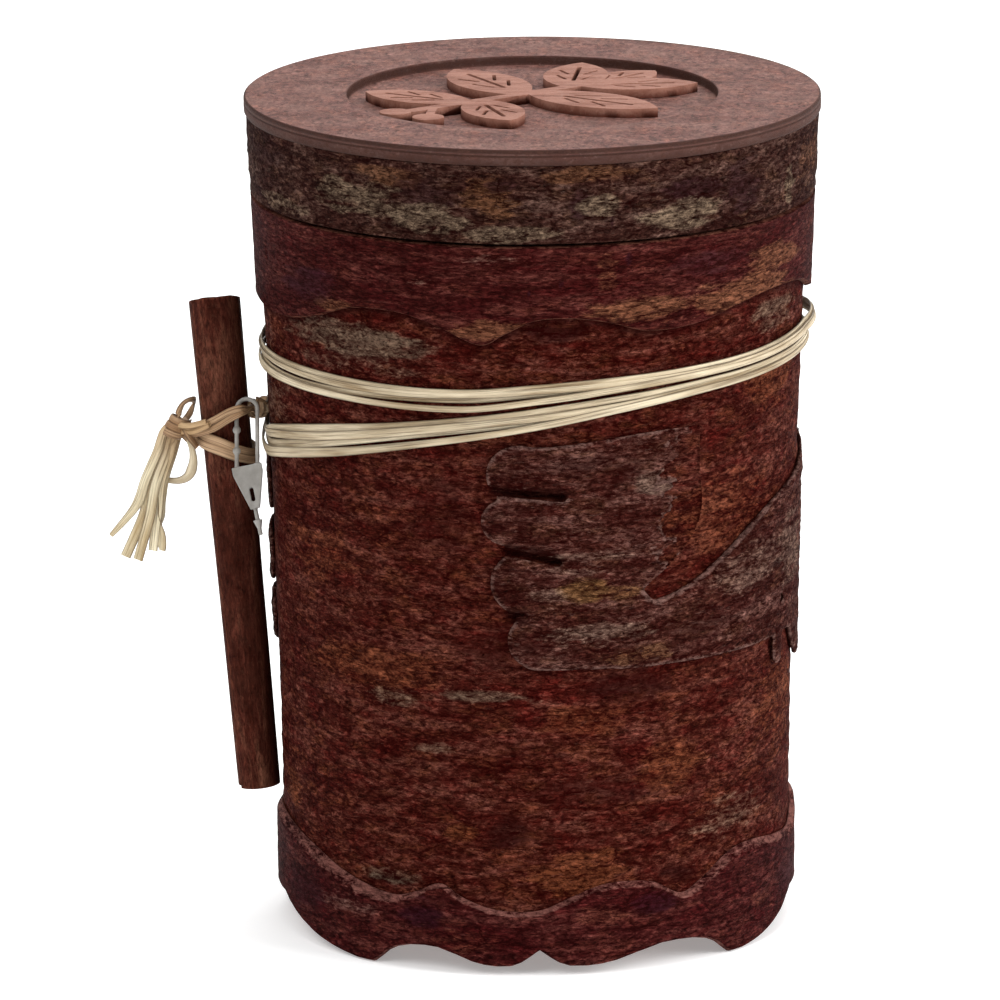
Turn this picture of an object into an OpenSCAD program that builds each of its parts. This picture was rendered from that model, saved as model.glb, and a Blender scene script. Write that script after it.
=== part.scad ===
// Round bark caddy with a lift-off lid, applied wavy bands, low reliefs and a raffia tie that carries
// a rolled cinnamon stick and a moulded tag loop. Millimetres, +Z up, origin on the axis at the feet.
// Azimuths run from the front (-Y) towards the right (+X).

/* [Body] */
// Height from the feet to the top of the lid
overall_h = 155; // [130:1:190]
// Outer radius of the bark wall at the lid seam
wall_top_r = 50.6; // [46:0.2:60]
// Outer radius of the bark wall at the foot
wall_foot_r = 46.8; // [42:0.2:50]
// Thickness of the bark wall
wall_t = 3.5; // [2.5:0.1:5]
// Thickness of the inner liner
liner_t = 1.6; // [1.2:0.1:2.4]
// Height of the liner's collar above the lid seam
collar_h = 10; // [6:0.5:12]
// Thickness of the base disc
base_t = 4; // [2.5:0.5:8]
// Height of the base disc above the feet
base_lift = 7.5; // [6.5:0.5:9]
// Thickness of the applied bark bands
band_t = 1.2; // [0.8:0.1:1.8]
// Least height of the rim band
rim_band_h = 13; // [10:0.5:16]
// Least height of the foot band
foot_band_h = 12; // [10:0.5:16]
// Height of the arches between the feet
foot_arch_h = 4.8; // [2:0.2:5]
// Height of the wide arches between the feet at the two sides
side_arch_h = 6.4; // [3:0.2:6.4]
// Thickness of the applied reliefs
relief_t = 1; // [0.8:0.1:1.8]
// Height of the front relief
relief_h = 43; // [38:0.5:45]
// Distance from the raffia down to the front relief
relief_clear = 1; // [0.6:0.1:3]

/* [Lid] */
// Height of the lid from the seam to its top
lid_h = 18; // [16:0.5:24]
// Outer radius of the top board
lid_r = 53; // [52.8:0.2:64]
// Thickness of the top board
board_t = 3; // [2.4:0.2:4]
// Radius of the round recess in the board
recess_r = 34; // [30:0.5:40]
// Depth of the recess
recess_d = 1.8; // [1:0.1:2]
// Running clearance between the lid and the collar
lid_clear = 0.3; // [0.25:0.05:0.6]
// Thickness of the lid's bark ring at its top
ring_t = 4; // [3:0.1:5]
// Inward draw of the lid's bark ring at its lower edge
ring_draw = 1.1; // [0.4:0.1:1.6]

/* [Raffia] */
// Depth of the knot strand below the lid seam
tie_drop = 41.5; // [38:0.5:46]
// Height of the bundle of strands on the front
bundle_h = 4.4; // [3:0.2:5]
// Thickness of the bundle of strands
bundle_t = 1.3; // [0.8:0.1:1.6]
// Width of the strands at the stick
strand_w = 2.8; // [2:0.1:3.2]
// Thickness of the strands at the stick
strand_t = 0.9; // [0.6:0.1:1.1]

/* [Stick] */
// Length of the rolled stick
stick_len = 94; // [80:1:100]
// Outer radius of the rolled stick at its lower end
stick_r = 4.05; // [3.5:0.05:4.6]
// Size of the stick's upper end against its lower end
stick_taper = 1.21; // [1:0.01:1.3]
// Thickness of the rolled bark
stick_t = 0.9; // [0.6:0.1:1.2]
// Height of the stick's lower end above the feet
stick_foot_z = 24; // [24:1:34]
// Lean of the stick away from the wall
stick_lean = 4.6; // [3.5:0.1:6]

/* [Tag] */
// Thickness of the tag's string
string_d = 0.8; // [0.5:0.1:1]
// Distance between the two legs of the tag's loop
loop_w = 3.8; // [3.4:0.1:4]
// Length of the tag from the loop to the head
tag_drop = 11; // [8:0.5:14]

/* [Hidden] */
$fn = 96;
glue_gap = 0.12;
seat_gap = 0.2;
seam_gap = 0.6;
seam_z = overall_h - lid_h;
tie_z = seam_z - tie_drop;
flare = 1.6;
profile_steps = 10;

// Radius of the wall's outer face at a height
function wall_r(z) =
    wall_foot_r + (wall_top_r - wall_foot_r) * pow(max(z, 0) / seam_z, flare);

// Radii of the lid seat, from the board inwards, and of the sleeve inside the wall
lid_liner_r = lid_r - ring_t - glue_gap;
lid_bore_r = lid_liner_r - liner_t;
collar_r = lid_bore_r - lid_clear;
sleeve_r = wall_top_r - wall_t - glue_gap;
board_z = overall_h - board_t;

// Bands: steps round the circle, azimuths of the butt seams, bevel of the cut edges
band_steps = 180;
band_fit = 1 / cos(180 / band_steps);
rim_seam = 150;
foot_seam = 205;
bevel = 0.8;

// Rise of the rim band's lower edge above its lowest level, by azimuth
rim_wave = [
    [-180, 4.5], [-158, 1], [-135, 4.6], [-112, 3], [-90, 0.6], [-64, 0], [-52, 2], [-41, 5], [-29, 5.4],
    [-20, 3.4], [-11, 0.4], [-6, 2.6], [0, 5], [7, 5.4], [15, 4.4], [24, 2.2], [36, 2.5], [47, 4.6],
    [59, 5.6], [73, 4.6], [90, 0.6], [112, 4], [138, 1.4], [160, 5], [180, 4.5]
];

// Rise of the foot band's upper edge above its lowest level, by azimuth
foot_wave = [
    [-180, 5], [-150, 8.6], [-128, 4], [-108, 7], [-90, 9.4], [-76, 9], [-60, 6.6], [-47, 3.4], [-34, 1.4],
    [-28, 2.6], [-22, 4.6], [-17, 2.4], [-11, 0.6], [-5, 0], [1, 0.4], [8, 2.8], [14, 4.6], [20, 5],
    [27, 4.2], [34, 1.4], [40, 3.4], [48, 7], [56, 7.8], [70, 6.4], [81, 6], [95, 10.4], [120, 8],
    [145, 3], [165, 7.6], [180, 5]
];

// One quarter of the feet: share of the arch height by angle from the middle notch to the corner tip
foot_shape = [
    [0, 1], [2.4, 0.7], [4.2, 0.5], [6.5, 0.36], [10, 0.33], [13, 0.37], [16, 0.47], [20, 0.7], [25, 0.93],
    [29, 0.96], [33, 0.91], [36.5, 0.77], [39, 0.57], [41.5, 0.24], [43.5, 0], [45, 0]
];
side_shape = [
    [0, 1], [13, 1], [17, 0.8], [20, 0.64], [23, 0.5], [26.5, 0.37], [30.5, 0.24], [34, 0.14], [38, 0.06],
    [42, 0], [45, 0]
];
// Azimuth of the front notch, and how far round the corner tips were cut from their even places
foot_turn = 0.5;
foot_skew = 4.1;

// Value of a table of points at a place, on a smooth curve through them
function slope(t, i) =
    let (a = t[max(i - 1, 0)], b = t[min(i + 1, len(t) - 1)])
        (b[1] - a[1]) / (b[0] - a[0]);
function smooth(t, x, i = 0) =
    x > t[i + 1][0] && i < len(t) - 2
        ? smooth(t, x, i + 1)
        : let (w = t[i + 1][0] - t[i][0], s = (x - t[i][0]) / w, q = 1 - s)
            t[i][1] * (1 + 2 * s) * q * q + t[i + 1][1] * s * s * (3 - 2 * s)
                + w * s * q * (slope(t, i) * q - slope(t, i + 1) * s);
function turned(a) = a - 360 * floor((a + 180) / 360);
function quarter(a) = abs((a + 45) - 90 * floor((a + 45) / 90) - 45);
function rim_edge(a) = seam_z - rim_band_h - 6 + smooth(rim_wave, turned(a));
function foot_edge(a) = foot_band_h + smooth(foot_wave, turned(a));
function at_side(a) = abs(abs(turned(a)) - 90) < 45;
function foot_at(a) = a - foot_turn - foot_skew * pow(sin(2 * a), 2);
function foot_rise(a) =
    at_side(foot_at(a))
        ? side_arch_h * lookup(quarter(foot_at(a)), side_shape)
        : foot_arch_h * lookup(quarter(foot_at(a)), foot_shape);

// Point at a radius, azimuth and height
function ring_at(r, a, z) = [r * sin(a), -r * cos(a), z];

// Cubic curve through four control points
function curve(p, steps) = [
    for (i = [0 : steps])
        let (s = i / steps, q = 1 - s)
            q * q * q * p[0] + 3 * q * q * s * p[1] + 3 * q * s * s * p[2] + s * s * s * p[3]
];

// Smooth route through points chosen by hand
function between(a, b, c, d, s) =
    0.5 * (2 * b + (c - a) * s + (2 * a - 5 * b + 4 * c - d) * s * s
        + (3 * b - a - 3 * c + d) * s * s * s);
function route(p, steps) = [
    for (i = [0 : steps * (len(p) - 1)])
        let (k = min(floor(i / steps), len(p) - 2), s = i / steps - k)
            between(p[max(k - 1, 0)], p[k], p[k + 1], p[min(k + 2, len(p) - 1)], s)
];

function unit(v) = v / norm(v);
function along(p, i) = unit(p[min(i + 1, len(p) - 1)] - p[max(i - 1, 0)]);

// Winding: heights of the bundle above the feet and widths, by azimuth from the first end on the left
wind_from = -92;
wind_to = 628;
wind_ring = 7.5;
cross_gap = 0.7;
wind_levels = [
    [-92, -5.4], [-50, 1.7], [-23, 6.2], [0, 9.3], [20, 11.6], [42, 13.3], [90, 14.4], [180, 13], [270, 12.2],
    [314, 12.3], [345, 12.9], [360, 14.2], [382, 15.5], [402, 16.2], [450, 17], [500, 13.6], [560, 5.6],
    [600, 1.2], [628, 0]
];
wind_heights = [
    [-92, 1.35], [-50, 1.45], [-23, 1.15], [0, 0.92], [20, 0.65], [42, 0.5], [90, 0.46], [180, 0.6], [270, 0.95],
    [345, 1], [360, 0.84], [382, 0.6], [402, 0.52], [450, 0.46], [560, 0.62], [628, 0.58]
];
// Lift of the second turn where it crosses over the first
wind_lift = [[-92, 0], [440, 0], [462, 1], [540, 1], [575, 0], [628, 0]];

function wind_z(a) = tie_z + smooth(wind_levels, a);
function wind_h(a) = bundle_h * smooth(wind_heights, a);
function wind_r(a) =
    (wall_r(wind_z(a) + wind_h(a) / 2) + glue_gap + bundle_t / 2 + lookup(a, wind_lift) * (bundle_t + cross_gap))
        / cos(wind_ring / 2);
wind_angles = [for (a = [wind_from : wind_ring : wind_to]) a];
wind_path = [for (a = wind_angles) ring_at(wind_r(a), a, wind_z(a))];
wind_sizes = [for (a = wind_angles) [wind_h(a), bundle_t]];
wind_outer = wall_r(tie_z) + glue_gap + bundle_t;

// Least gap of the winding to its own other turn, measured between the rings' points
wind_turn = 360 / wind_ring;
wind_gaps = [
    for (i = [0 : len(wind_path) - 1])
        for (j = [i + wind_turn / 2 : len(wind_path) - 1])
            let (d = wind_path[j] - wind_path[i], flat = norm([d[0], d[1]]))
                if (flat < 4)
                    max(abs(d[2]) - (wind_h(wind_angles[i]) + wind_h(wind_angles[j])) / 2,
                        abs(norm([wind_path[j][0], wind_path[j][1]]) - norm([wind_path[i][0], wind_path[i][1]]))
                            - bundle_t)
];
echo(least_gap_of_winding = min(wind_gaps));

// Stick: its lower end stands clear of the wall, the tie is a point on its axis
stick_clear = 0.4;
stick_foot_x = -(wall_r(stick_foot_z) + stick_clear + stick_r / cos(stick_lean));
tie_up = (tie_z - stick_foot_z) / cos(stick_lean);
tie_r = stick_r * (1 + (stick_taper - 1) * tie_up / stick_len);
loop_gap = 0.3;
hug = tie_r + loop_gap + strand_t / 2;
hug_ring = 30;
knot_r = 2.4;
knot_out = -(tie_r + loop_gap + knot_r + 0.2);
knot_drop = -3;

// Tie strands, in the stick's own frame with the container on the +X side
link_start = -stick_foot_x + tie_up * sin(stick_lean) - wind_outer;
link_points = [
    [link_start - 0.8, 0, 0.6], [link_start - 1.3, -2.2, 0.8], [hug * 0.82, -hug * 0.98, 0.9],
    [hug * 0.62, -hug * 1.38, 1.3], [hug * 0.2, -hug * 1.32, 0.4], [-hug * 0.36, -hug * 1.16, -1.3],
    [-hug * 0.95, -hug * 0.8, -2.6], [knot_out - 0.4, -0.8, -2.9]
];
loop_start = 196;
loop_end = 532;
loop_levels = [[196, -4], [250, -5.4], [297, -7.6], [330, -8.6], [380, -8.6], [450, -6.6], [532, -4.2]];
loop_angles = [for (a = [loop_start : hug_ring / 2 : loop_end]) a];
loop_hug = hug / cos(hug_ring / 4);
loop_path = [
    for (a = loop_angles)
        [loop_hug * cos(a), loop_hug * sin(a), smooth(loop_levels, a)]
];
tail_points = [
    [knot_out - 1.5, -0.6, knot_drop - 0.2], [knot_out - 3.7, -1.1, knot_drop - 4.8],
    [knot_out - 5.9, -1.6, knot_drop - 9.8], [knot_out - 7.3, -1.9, knot_drop - 15.4],
    [knot_out - 9.5, -2, knot_drop - 22.6]
];
// Where each strand of the tail ends across and above the middle, and how far behind it the strand lies
tail_spread = [-5.8, -3.5, -1.2, 1.7, 3.3];
tail_rise = [4, -0.3, -0.9, 0.5, 0.3];
tail_layer = [0, 0.5, -0.5, 0, 0.5];
// Share of the spread that the strands have reached at each point of the tail
tail_open = [0.26, 0.28, 0.34, 0.5, 1];
slack_points = [
    [knot_out + 0.6, -1.8, knot_drop - 1.7], [knot_out + 1.2, -2.4, knot_drop - 3.6],
    [knot_out + 1.1, -2.2, knot_drop - 6.2], [knot_out, -1.4, knot_drop - 8.6],
    [knot_out - 1.9, -0.5, knot_drop - 9.6], [knot_out - 4.4, 0, knot_drop - 9.4]
];

// Tag: hangs on the link strand and leans forward off the stick
tag_at = link_points[2];
tag_tilt = 18;
head_lean = 11.5;
bead_r = string_d * 0.95;
head_w = 5.6;
head_h = 7.5;
head_t = 1.9;
tag_tail = 5;

// Relief outlines: u runs across as seen square to the relief, the height runs down from its top,
// both in units of the relief's height
relief_gap = glue_gap;
relief_from = -12;
relief_top = wind_z(relief_from) - wind_h(relief_from) / 2 - relief_clear;
relief_unit = relief_h / 43;
main_turn = 14;
arm_turn = 66;
side_turn = -116;
slit_w = 1.5;

// Ring that follows the wall's profile between two offsets from its outer face
module wall_ring(z0, z1, inner, outer) {
    heights = [for (i = [0 : profile_steps]) z0 + (z1 - z0) * i / profile_steps];
    out_side = [for (z = heights) [wall_r(z) + outer, z]];
    in_side = [for (i = [profile_steps : -1 : 0]) [wall_r(heights[i]) + inner, heights[i]]];
    rotate_extrude()
        polygon(concat(out_side, in_side));
}

// Radial slot at an azimuth, the butt joint of a bent sheet
module seam_slot(a, z0, z1) {
    rotate([0, 0, a])
        translate([-seam_gap / 2, -2 * wall_top_r, z0])
            cube([seam_gap, 2 * wall_top_r, z1 - z0]);
}

// Solid between rings of points that all have the same number of sides
module skin(points, sides) {
    rings = len(points) / sides;
    walls = [
        for (i = [0 : rings - 2])
            for (k = [0 : sides - 1])
                let (a = i * sides + k, b = i * sides + (k + 1) % sides)
                    each [[a, a + sides, b + sides], [a, b + sides, b]]
    ];
    first = [for (k = [1 : sides - 2]) [0, k, k + 1]];
    last = [for (k = [1 : sides - 2]) let (e = (rings - 1) * sides) [e, e + k + 1, e + k]];
    polyhedron(concat([for (p = points) p]), concat(walls, first, last));
}

// Flat strand swept along a route; sizes holds a width and a thickness for each ring
module strand(path, sizes, up = [0, 0, 1], sides = 6) {
    points = [
        for (i = [0 : len(path) - 1])
            let (t = along(path, i), s = unit(cross(t, up)), u = cross(s, t))
                for (k = [0 : sides - 1])
                    path[i] + u * sizes[i][0] / 2 * cos(360 * k / sides)
                        + s * sizes[i][1] / 2 * sin(360 * k / sides) / sin(60)
    ];
    skin(points, sides);
}

// Bark band between two edge functions, open at its butt seam, with its upper or lower edge bevelled
module band(low, high, seam, low_bevel, high_bevel) {
    half = seam_gap / wall_foot_r * 90 / PI;
    from = seam + half;
    step = (360 - 2 * half) / band_steps;
    inner = glue_gap;
    outer = glue_gap + band_t;
    points = [
        for (i = [0 : band_steps])
            let (a = from + i * step, l = low(a), h = high(a))
                each [
                    ring_at((wall_r(l) + inner) * band_fit, a, l),
                    ring_at((wall_r(h) + inner) * band_fit, a, h),
                    ring_at((wall_r(h) + outer) * band_fit, a, h - high_bevel),
                    ring_at((wall_r(l) + outer) * band_fit, a, l + low_bevel)
                ]
    ];
    skin(points, 4);
}

module body_wall() {
    color("SaddleBrown")
        difference() {
            wall_ring(base_lift - 1, seam_z, -wall_t, 0);
            seam_slot(180, 0, overall_h);
        }
}

// Sleeve inside the wall, with a collar above the seam and a shoulder where their radii differ
module inner_liner() {
    floor_z = base_lift + base_t;
    outer = -wall_t - glue_gap;
    bore_r = min(collar_r, sleeve_r) - liner_t;
    color("Peru")
        difference() {
            union() {
                wall_ring(floor_z, seam_z, outer - liner_t, outer);
                rotate_extrude() {
                    translate([bore_r, seam_z - liner_t])
                        square([sleeve_r - bore_r - glue_gap, liner_t]);
                    translate([bore_r, seam_z - liner_t / 2])
                        square([min(collar_r, sleeve_r) - bore_r, liner_t]);
                    translate([bore_r, seam_z])
                        square([collar_r - bore_r, liner_t]);
                    translate([collar_r - liner_t, seam_z])
                        square([liner_t, collar_h]);
                }
            }
            seam_slot(120, 0, overall_h);
        }
}

module base_disc() {
    color("Sienna")
        translate([0, 0, base_lift])
            cylinder(r = wall_r(base_lift) - wall_t - glue_gap, h = base_t);
}

module rim_band() {
    color("Maroon")
        band(function(a) rim_edge(a), function(a) seam_z, rim_seam, bevel, 0);
}

module foot_band() {
    color("Maroon")
        band(function(a) foot_rise(a), function(a) foot_edge(a), foot_seam, 0, bevel);
}

// Straight slit with round ends between two points of an outline
module slit(from, to, w) {
    d = to - from;
    translate(from)
        rotate(atan2(d[1], d[0])) {
            translate([0, -w / 2])
                square([norm(d), w]);
            circle(w / 2);
            translate([norm(d), 0])
                circle(w / 2);
        }
}

// Prism of an outline, pushed out of the axis at an azimuth
module outwards(a) {
    rotate([0, 0, a])
        rotate([90, 0, 0])
            linear_extrude(2 * wall_top_r)
                translate([0, relief_top])
                    scale(relief_unit)
                        children();
}

module cloud_outline() {
    difference() {
        union() {
            translate([-14.8, -5.6])
                circle(5.6);
            translate([-16.8, -14.4])
                circle(4.4);
            translate([-13.4, -25.8])
                circle(6.2);
            translate([-11, -36.6])
                circle(5.6);
            polygon(concat(
                curve([[-15, 0], [-8, -1.5], [2, 2.2], [19.5, 1.4]], 8),
                curve([[19.5, -6], [20, -14], [23, -18], [8, -28]], 8),
                [[10.4, -30.6], [15.5, -29.3], [26, -25], [26, -42.6], [-11, -42.2]],
                [[-14.5, -33], [-16.5, -31], [-17, -20], [-18.5, -10]]
            ));
        }
        slit([-24, -8], [-7, -9.9], slit_w);
        slit([-23, -18.4], [-7.8, -22], slit_w);
        slit([-20, -32], [-14, -31.6], slit_w * 0.6);
    }
}

module arm_outline() {
    difference() {
        union() {
            polygon(concat(
                curve([[-36, -30], [-28, -32], [-22, -26], [-12, -20.5]], 8),
                curve([[-10, -19.4], [0, -14.5], [10, -14.5], [21, -11.4]], 8),
                curve([[27, -10], [25, -20], [32, -26], [30, -36]], 8),
                curve([[27, -46], [22, -54], [13, -52], [7, -43]], 8),
                [[-36, -42.6]]
            ));
            translate([1, -46.4])
                circle(2.1);
            translate([-1.1, -46.4])
                square([4.2, 6]);
        }
        translate([2.6, -36.5])
            circle(0.9);
    }
}

module side_outline() {
    difference() {
        union() {
            translate([14, -18])
                circle(7);
            translate([17, -31])
                circle(7);
            translate([15, -43])
                circle(6.4);
            polygon(concat(
                curve([[14, -11], [4, -8], [-8, -16], [-22, -14]], 8),
                curve([[-27, -20], [-20, -28], [-27, -36], [-22, -44]], 8),
                [[16, -49.4]]
            ));
        }
        slit([24, -24.6], [8, -25.4], slit_w);
        slit([23, -37.4], [4, -38.4], slit_w);
    }
}

module relief_shell() {
    wall_ring(relief_top - relief_h * 1.3, relief_top + relief_h * 0.07, relief_gap, relief_gap + relief_t);
}

module cloud_relief() {
    color("Brown")
        intersection() {
            relief_shell();
            union() {
                outwards(main_turn)
                    cloud_outline();
                outwards(arm_turn)
                    arm_outline();
            }
        }
}

module side_relief() {
    color("Brown")
        intersection() {
            relief_shell();
            outwards(side_turn)
                side_outline();
        }
}

module raffia_winding() {
    color("Wheat")
        strand(wind_path, wind_sizes);
}

module lid_rim() {
    low = seam_z + seat_gap;
    color("SaddleBrown")
        rotate_extrude()
            polygon([
                [lid_liner_r + glue_gap, low], [lid_r - ring_draw, low],
                [lid_r - ring_draw * 0.55, (low + board_z) / 2], [lid_r - ring_draw * 0.3, board_z],
                [lid_liner_r + glue_gap, board_z]
            ]);
}

module lid_liner() {
    low = seam_z + seat_gap;
    color("Peru")
        translate([0, 0, low])
            difference() {
                cylinder(r = lid_liner_r, h = board_z - low);
                translate([0, 0, -1])
                    cylinder(r = lid_bore_r, h = board_z - low + 2);
            }
}

module lid_top() {
    edge_r = board_t * 0.3;
    color("RosyBrown")
        difference() {
            rotate_extrude() {
                translate([0, board_z])
                    square([lid_r - edge_r, board_t]);
                translate([0, board_z])
                    square([lid_r, board_t - edge_r]);
                translate([lid_r - edge_r, overall_h - edge_r])
                    circle(edge_r);
            }
            translate([0, 0, overall_h - recess_d])
                cylinder(r = recess_r, h = recess_d + 1);
        }
}

// Leaf between two arcs, with a cut midrib and side veins
module leaf(size, wide) {
    arc_r = (size * size + wide * wide) / (4 * wide);
    difference() {
        intersection() {
            translate([size / 2, arc_r - wide / 2])
                circle(arc_r);
            translate([size / 2, wide / 2 - arc_r])
                circle(arc_r);
        }
        slit([size * 0.3, 0], [size * 0.8, 0], 0.9);
        for (side = [-1, 1], up = [0.34, 0.54])
            slit([size * up, side * wide * 0.13], [size * (up + 0.14), side * wide * 0.28], 0.7);
    }
}

module ornament_outline() {
    root = [-22, -16];
    tip = [12, 9];
    leaves = [
        [-12, 150, 23, 11], [-10, -72, 21, 11], [-2, 118, 28, 13], [0, -34, 29, 13], [7, 84, 24, 12],
        [9, 4, 23, 11], [11, 44, 18, 10]
    ];
    scale(recess_r / 34) {
        slit(root, tip, 2.6);
        for (l = leaves)
            translate([l[0], root[1] + (l[0] - root[0]) * (tip[1] - root[1]) / (tip[0] - root[0])])
                rotate(l[1])
                    translate([-1.5, 0])
                        leaf(l[2], l[3]);
        for (p = [[-25, -17], [-19, -22]]) {
            slit([-18, -13], p, 1.6);
            translate(p)
                circle(2.9);
        }
    }
}

module lid_ornament() {
    color("Chocolate")
        translate([0, 0, overall_h - recess_d])
            linear_extrude(recess_d - 0.1)
                ornament_outline();
}

// Places children in the stick's leaning frame, at its lower end or at the tie
module on_stick(up) {
    translate([stick_foot_x, 0, stick_foot_z])
        rotate([0, -stick_lean, 0])
            translate([0, 0, up])
                children();
}

module raffia_link() {
    path = route(link_points, 3);
    sizes = [
        for (i = [0 : len(path) - 1])
            [strand_w * lookup(i / len(path), [[0, 0.38], [0.4, 0.38], [0.75, 1], [1, 1]]), strand_t]
    ];
    color("Wheat")
        on_stick(tie_up)
            strand(path, sizes);
}

module stick_loop() {
    sizes = [for (p = loop_path) [strand_w, strand_t]];
    color("Wheat")
        on_stick(tie_up)
            strand(loop_path, sizes);
}

module raffia_knot() {
    color("Wheat")
        on_stick(tie_up)
            hull() {
                translate([knot_out - 1.4, -0.6, knot_drop + 1.2])
                    sphere(knot_r * 0.82, $fn = 20);
                translate([knot_out + 0.3, -1.4, knot_drop - 0.9])
                    sphere(knot_r * 0.9, $fn = 20);
            }
}

module raffia_tail() {
    color("Wheat")
        on_stick(tie_up)
            for (k = [0 : len(tail_spread) - 1]) {
                path = [
                    for (i = [0 : len(tail_points) - 1])
                        tail_points[i] + [0, tail_layer[k], 0]
                            + tail_open[i] * [tail_spread[k], 0, tail_rise[k]]
                ];
                run = route(path, 3);
                strand(run, [for (p = run) [1.4, 0.3]], [1, 0, 0]);
            }
}

module raffia_small_loop() {
    path = route(slack_points, 4);
    color("Wheat")
        on_stick(tie_up)
            strand(path, [for (p = path) [0.35, 1.2]], [0, 1, 0]);
}

// Outline of a sheet rolled up, whose last turn laps over the one below it
function lapped(turn) = floor(turn) + max(0, turn - floor(turn) - 0.72) / 0.28;
module scroll() {
    steps = 48;
    turns = 1.55;
    lap = stick_t + 0.25;
    outer = [for (i = [0 : steps]) let (n = turns * i / steps) [stick_r - lap * lapped(n), 360 * n]];
    inner = [for (i = [steps : -1 : 0]) [outer[i][0] - stick_t, outer[i][1]]];
    polygon([for (p = concat(outer, inner)) p[0] * [cos(p[1] + 160), sin(p[1] + 160)]]);
}

module cinnamon_stick() {
    color("Sienna")
        on_stick(0)
            linear_extrude(stick_len, scale = stick_taper)
                scroll();
}

module tag_loop() {
    leg = loop_w / 2;
    head_top = -tag_drop;
    color("Gainsboro")
        on_stick(tie_up)
            translate(tag_at)
                rotate([0, stick_lean, 0])
                    rotate([-tag_tilt, 0, 0]) {
                        rotate([90, 0, 0])
                            rotate_extrude(angle = 180)
                                translate([leg, 0])
                                    circle(string_d / 2, $fn = 24);
                        for (side = [-1, 1])
                            translate([side * leg, 0, head_top - 0.8])
                                cylinder(d = string_d, h = tag_drop + 0.8, $fn = 24);
                        for (drop = [0.35, 0.7])
                            translate([-leg, 0, -tag_drop * drop])
                                sphere(bead_r, $fn = 24);
                        translate([0, 0, head_top])
                            rotate([0, -head_lean, 0])
                                tag_head();
                    }
}

// Tapered lock head with its slot, and the barbed tail below it
module tag_head() {
    translate([0, head_t / 2, 0])
        rotate([90, 0, 0])
            linear_extrude(head_t)
                difference() {
                    polygon([
                        [-head_w / 2, 0.6], [head_w / 2, 0.6], [head_w / 2, -0.8],
                        [0.9, -head_h], [-0.9, -head_h], [-head_w / 2, -0.8]
                    ]);
                    slit([0, -head_h * 0.52], [0, -head_h * 0.78], 0.7);
                }
    translate([0, 0, -head_h - tag_tail])
        cylinder(d = string_d, h = tag_tail + 0.5, $fn = 24);
    translate([0, 0, -head_h - tag_tail * 0.75])
        cylinder(r1 = string_d / 2, r2 = bead_r * 1.2, h = 1.6, $fn = 24);
}

body_wall();
inner_liner();
base_disc();
rim_band();
foot_band();
cloud_relief();
side_relief();
raffia_winding();
lid_rim();
lid_liner();
lid_top();
lid_ornament();
raffia_link();
stick_loop();
raffia_knot();
raffia_tail();
raffia_small_loop();
cinnamon_stick();
tag_loop();
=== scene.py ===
import math

import bmesh
import bpy
import numpy as np
from mathutils import Euler, Matrix, Vector, kdtree


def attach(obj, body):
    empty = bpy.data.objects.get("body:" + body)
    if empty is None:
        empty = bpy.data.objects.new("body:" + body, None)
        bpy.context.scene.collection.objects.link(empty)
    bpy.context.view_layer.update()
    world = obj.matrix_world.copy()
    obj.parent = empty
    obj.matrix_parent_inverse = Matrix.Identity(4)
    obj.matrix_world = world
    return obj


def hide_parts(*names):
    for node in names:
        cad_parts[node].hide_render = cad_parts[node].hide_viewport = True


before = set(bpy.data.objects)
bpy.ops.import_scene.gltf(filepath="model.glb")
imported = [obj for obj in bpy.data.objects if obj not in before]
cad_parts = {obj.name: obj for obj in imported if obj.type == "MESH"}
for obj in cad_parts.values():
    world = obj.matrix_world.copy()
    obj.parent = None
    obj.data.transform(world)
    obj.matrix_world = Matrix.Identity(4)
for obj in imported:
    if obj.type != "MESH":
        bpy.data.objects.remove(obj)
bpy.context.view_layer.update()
mm = 0.001
print("frame loaded with", len(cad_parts), "nodes")

# camera, floor and light
shot = {
    "place": (-0.00636, -1.98623, 0.5554), "pitch": 0.235877, "roll": -0.0058,
    "lens": 397.45, "sensor": 36, "far": 50,
}
studio = {
    "sky": (1.0, 1.0, 1.0, 1), "skyStrength": 0.56, "aim": (0, 0, 0.08),
    "lamps": [  # name, place, size, watts
        ("keyLamp", (-0.9, -1.5, 1.7), 1.3, 20),
        ("fillLamp", (1.6, -0.6, 0.9), 1.2, 31),
        ("topLamp", (0.1, 0.2, 2.0), 1.4, 13),
        ("backLamp", (0.3, 1.8, 1.4), 1.4, 12),
    ],
    # a lit table, so shadows stay faint
    "floor": (0.93, 0.93, 0.93, 1), "floorGlow": 0.3, "floorRough": 0.9, "floorHalf": 4,
}


# a socket is linked, a number or colour is set
def fill(tree, made, values):
    for key, value in values.items():
        if isinstance(value, bpy.types.NodeSocket):
            tree.links.new(value, made.inputs[key])
        else:
            made.inputs[key].default_value = value
    return made


def node(tree, kind, values=None, **settings):
    made = tree.nodes.new("ShaderNode" + kind)
    for key, value in settings.items():
        setattr(made, key, value)
    return fill(tree, made, values or {})


def newMaterial(name):
    material = bpy.data.materials.new(name)
    material.use_nodes = True
    return material, material.node_tree, material.node_tree.nodes["Principled BSDF"]


def setCamera():
    eye = bpy.data.objects.new("camera", bpy.data.cameras.new("camera"))
    eye.location = shot["place"]
    tilt = Euler((math.pi / 2 - shot["pitch"], 0, 0)).to_matrix() @ Matrix.Rotation(shot["roll"], 3, "Z")
    eye.rotation_euler = tilt.to_euler()
    eye.data.lens = shot["lens"]
    eye.data.sensor_width = shot["sensor"]
    eye.data.clip_end = shot["far"]
    bpy.context.scene.collection.objects.link(eye)
    bpy.context.scene.camera = eye
    bpy.context.scene.view_settings.view_transform = "Standard"


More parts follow.
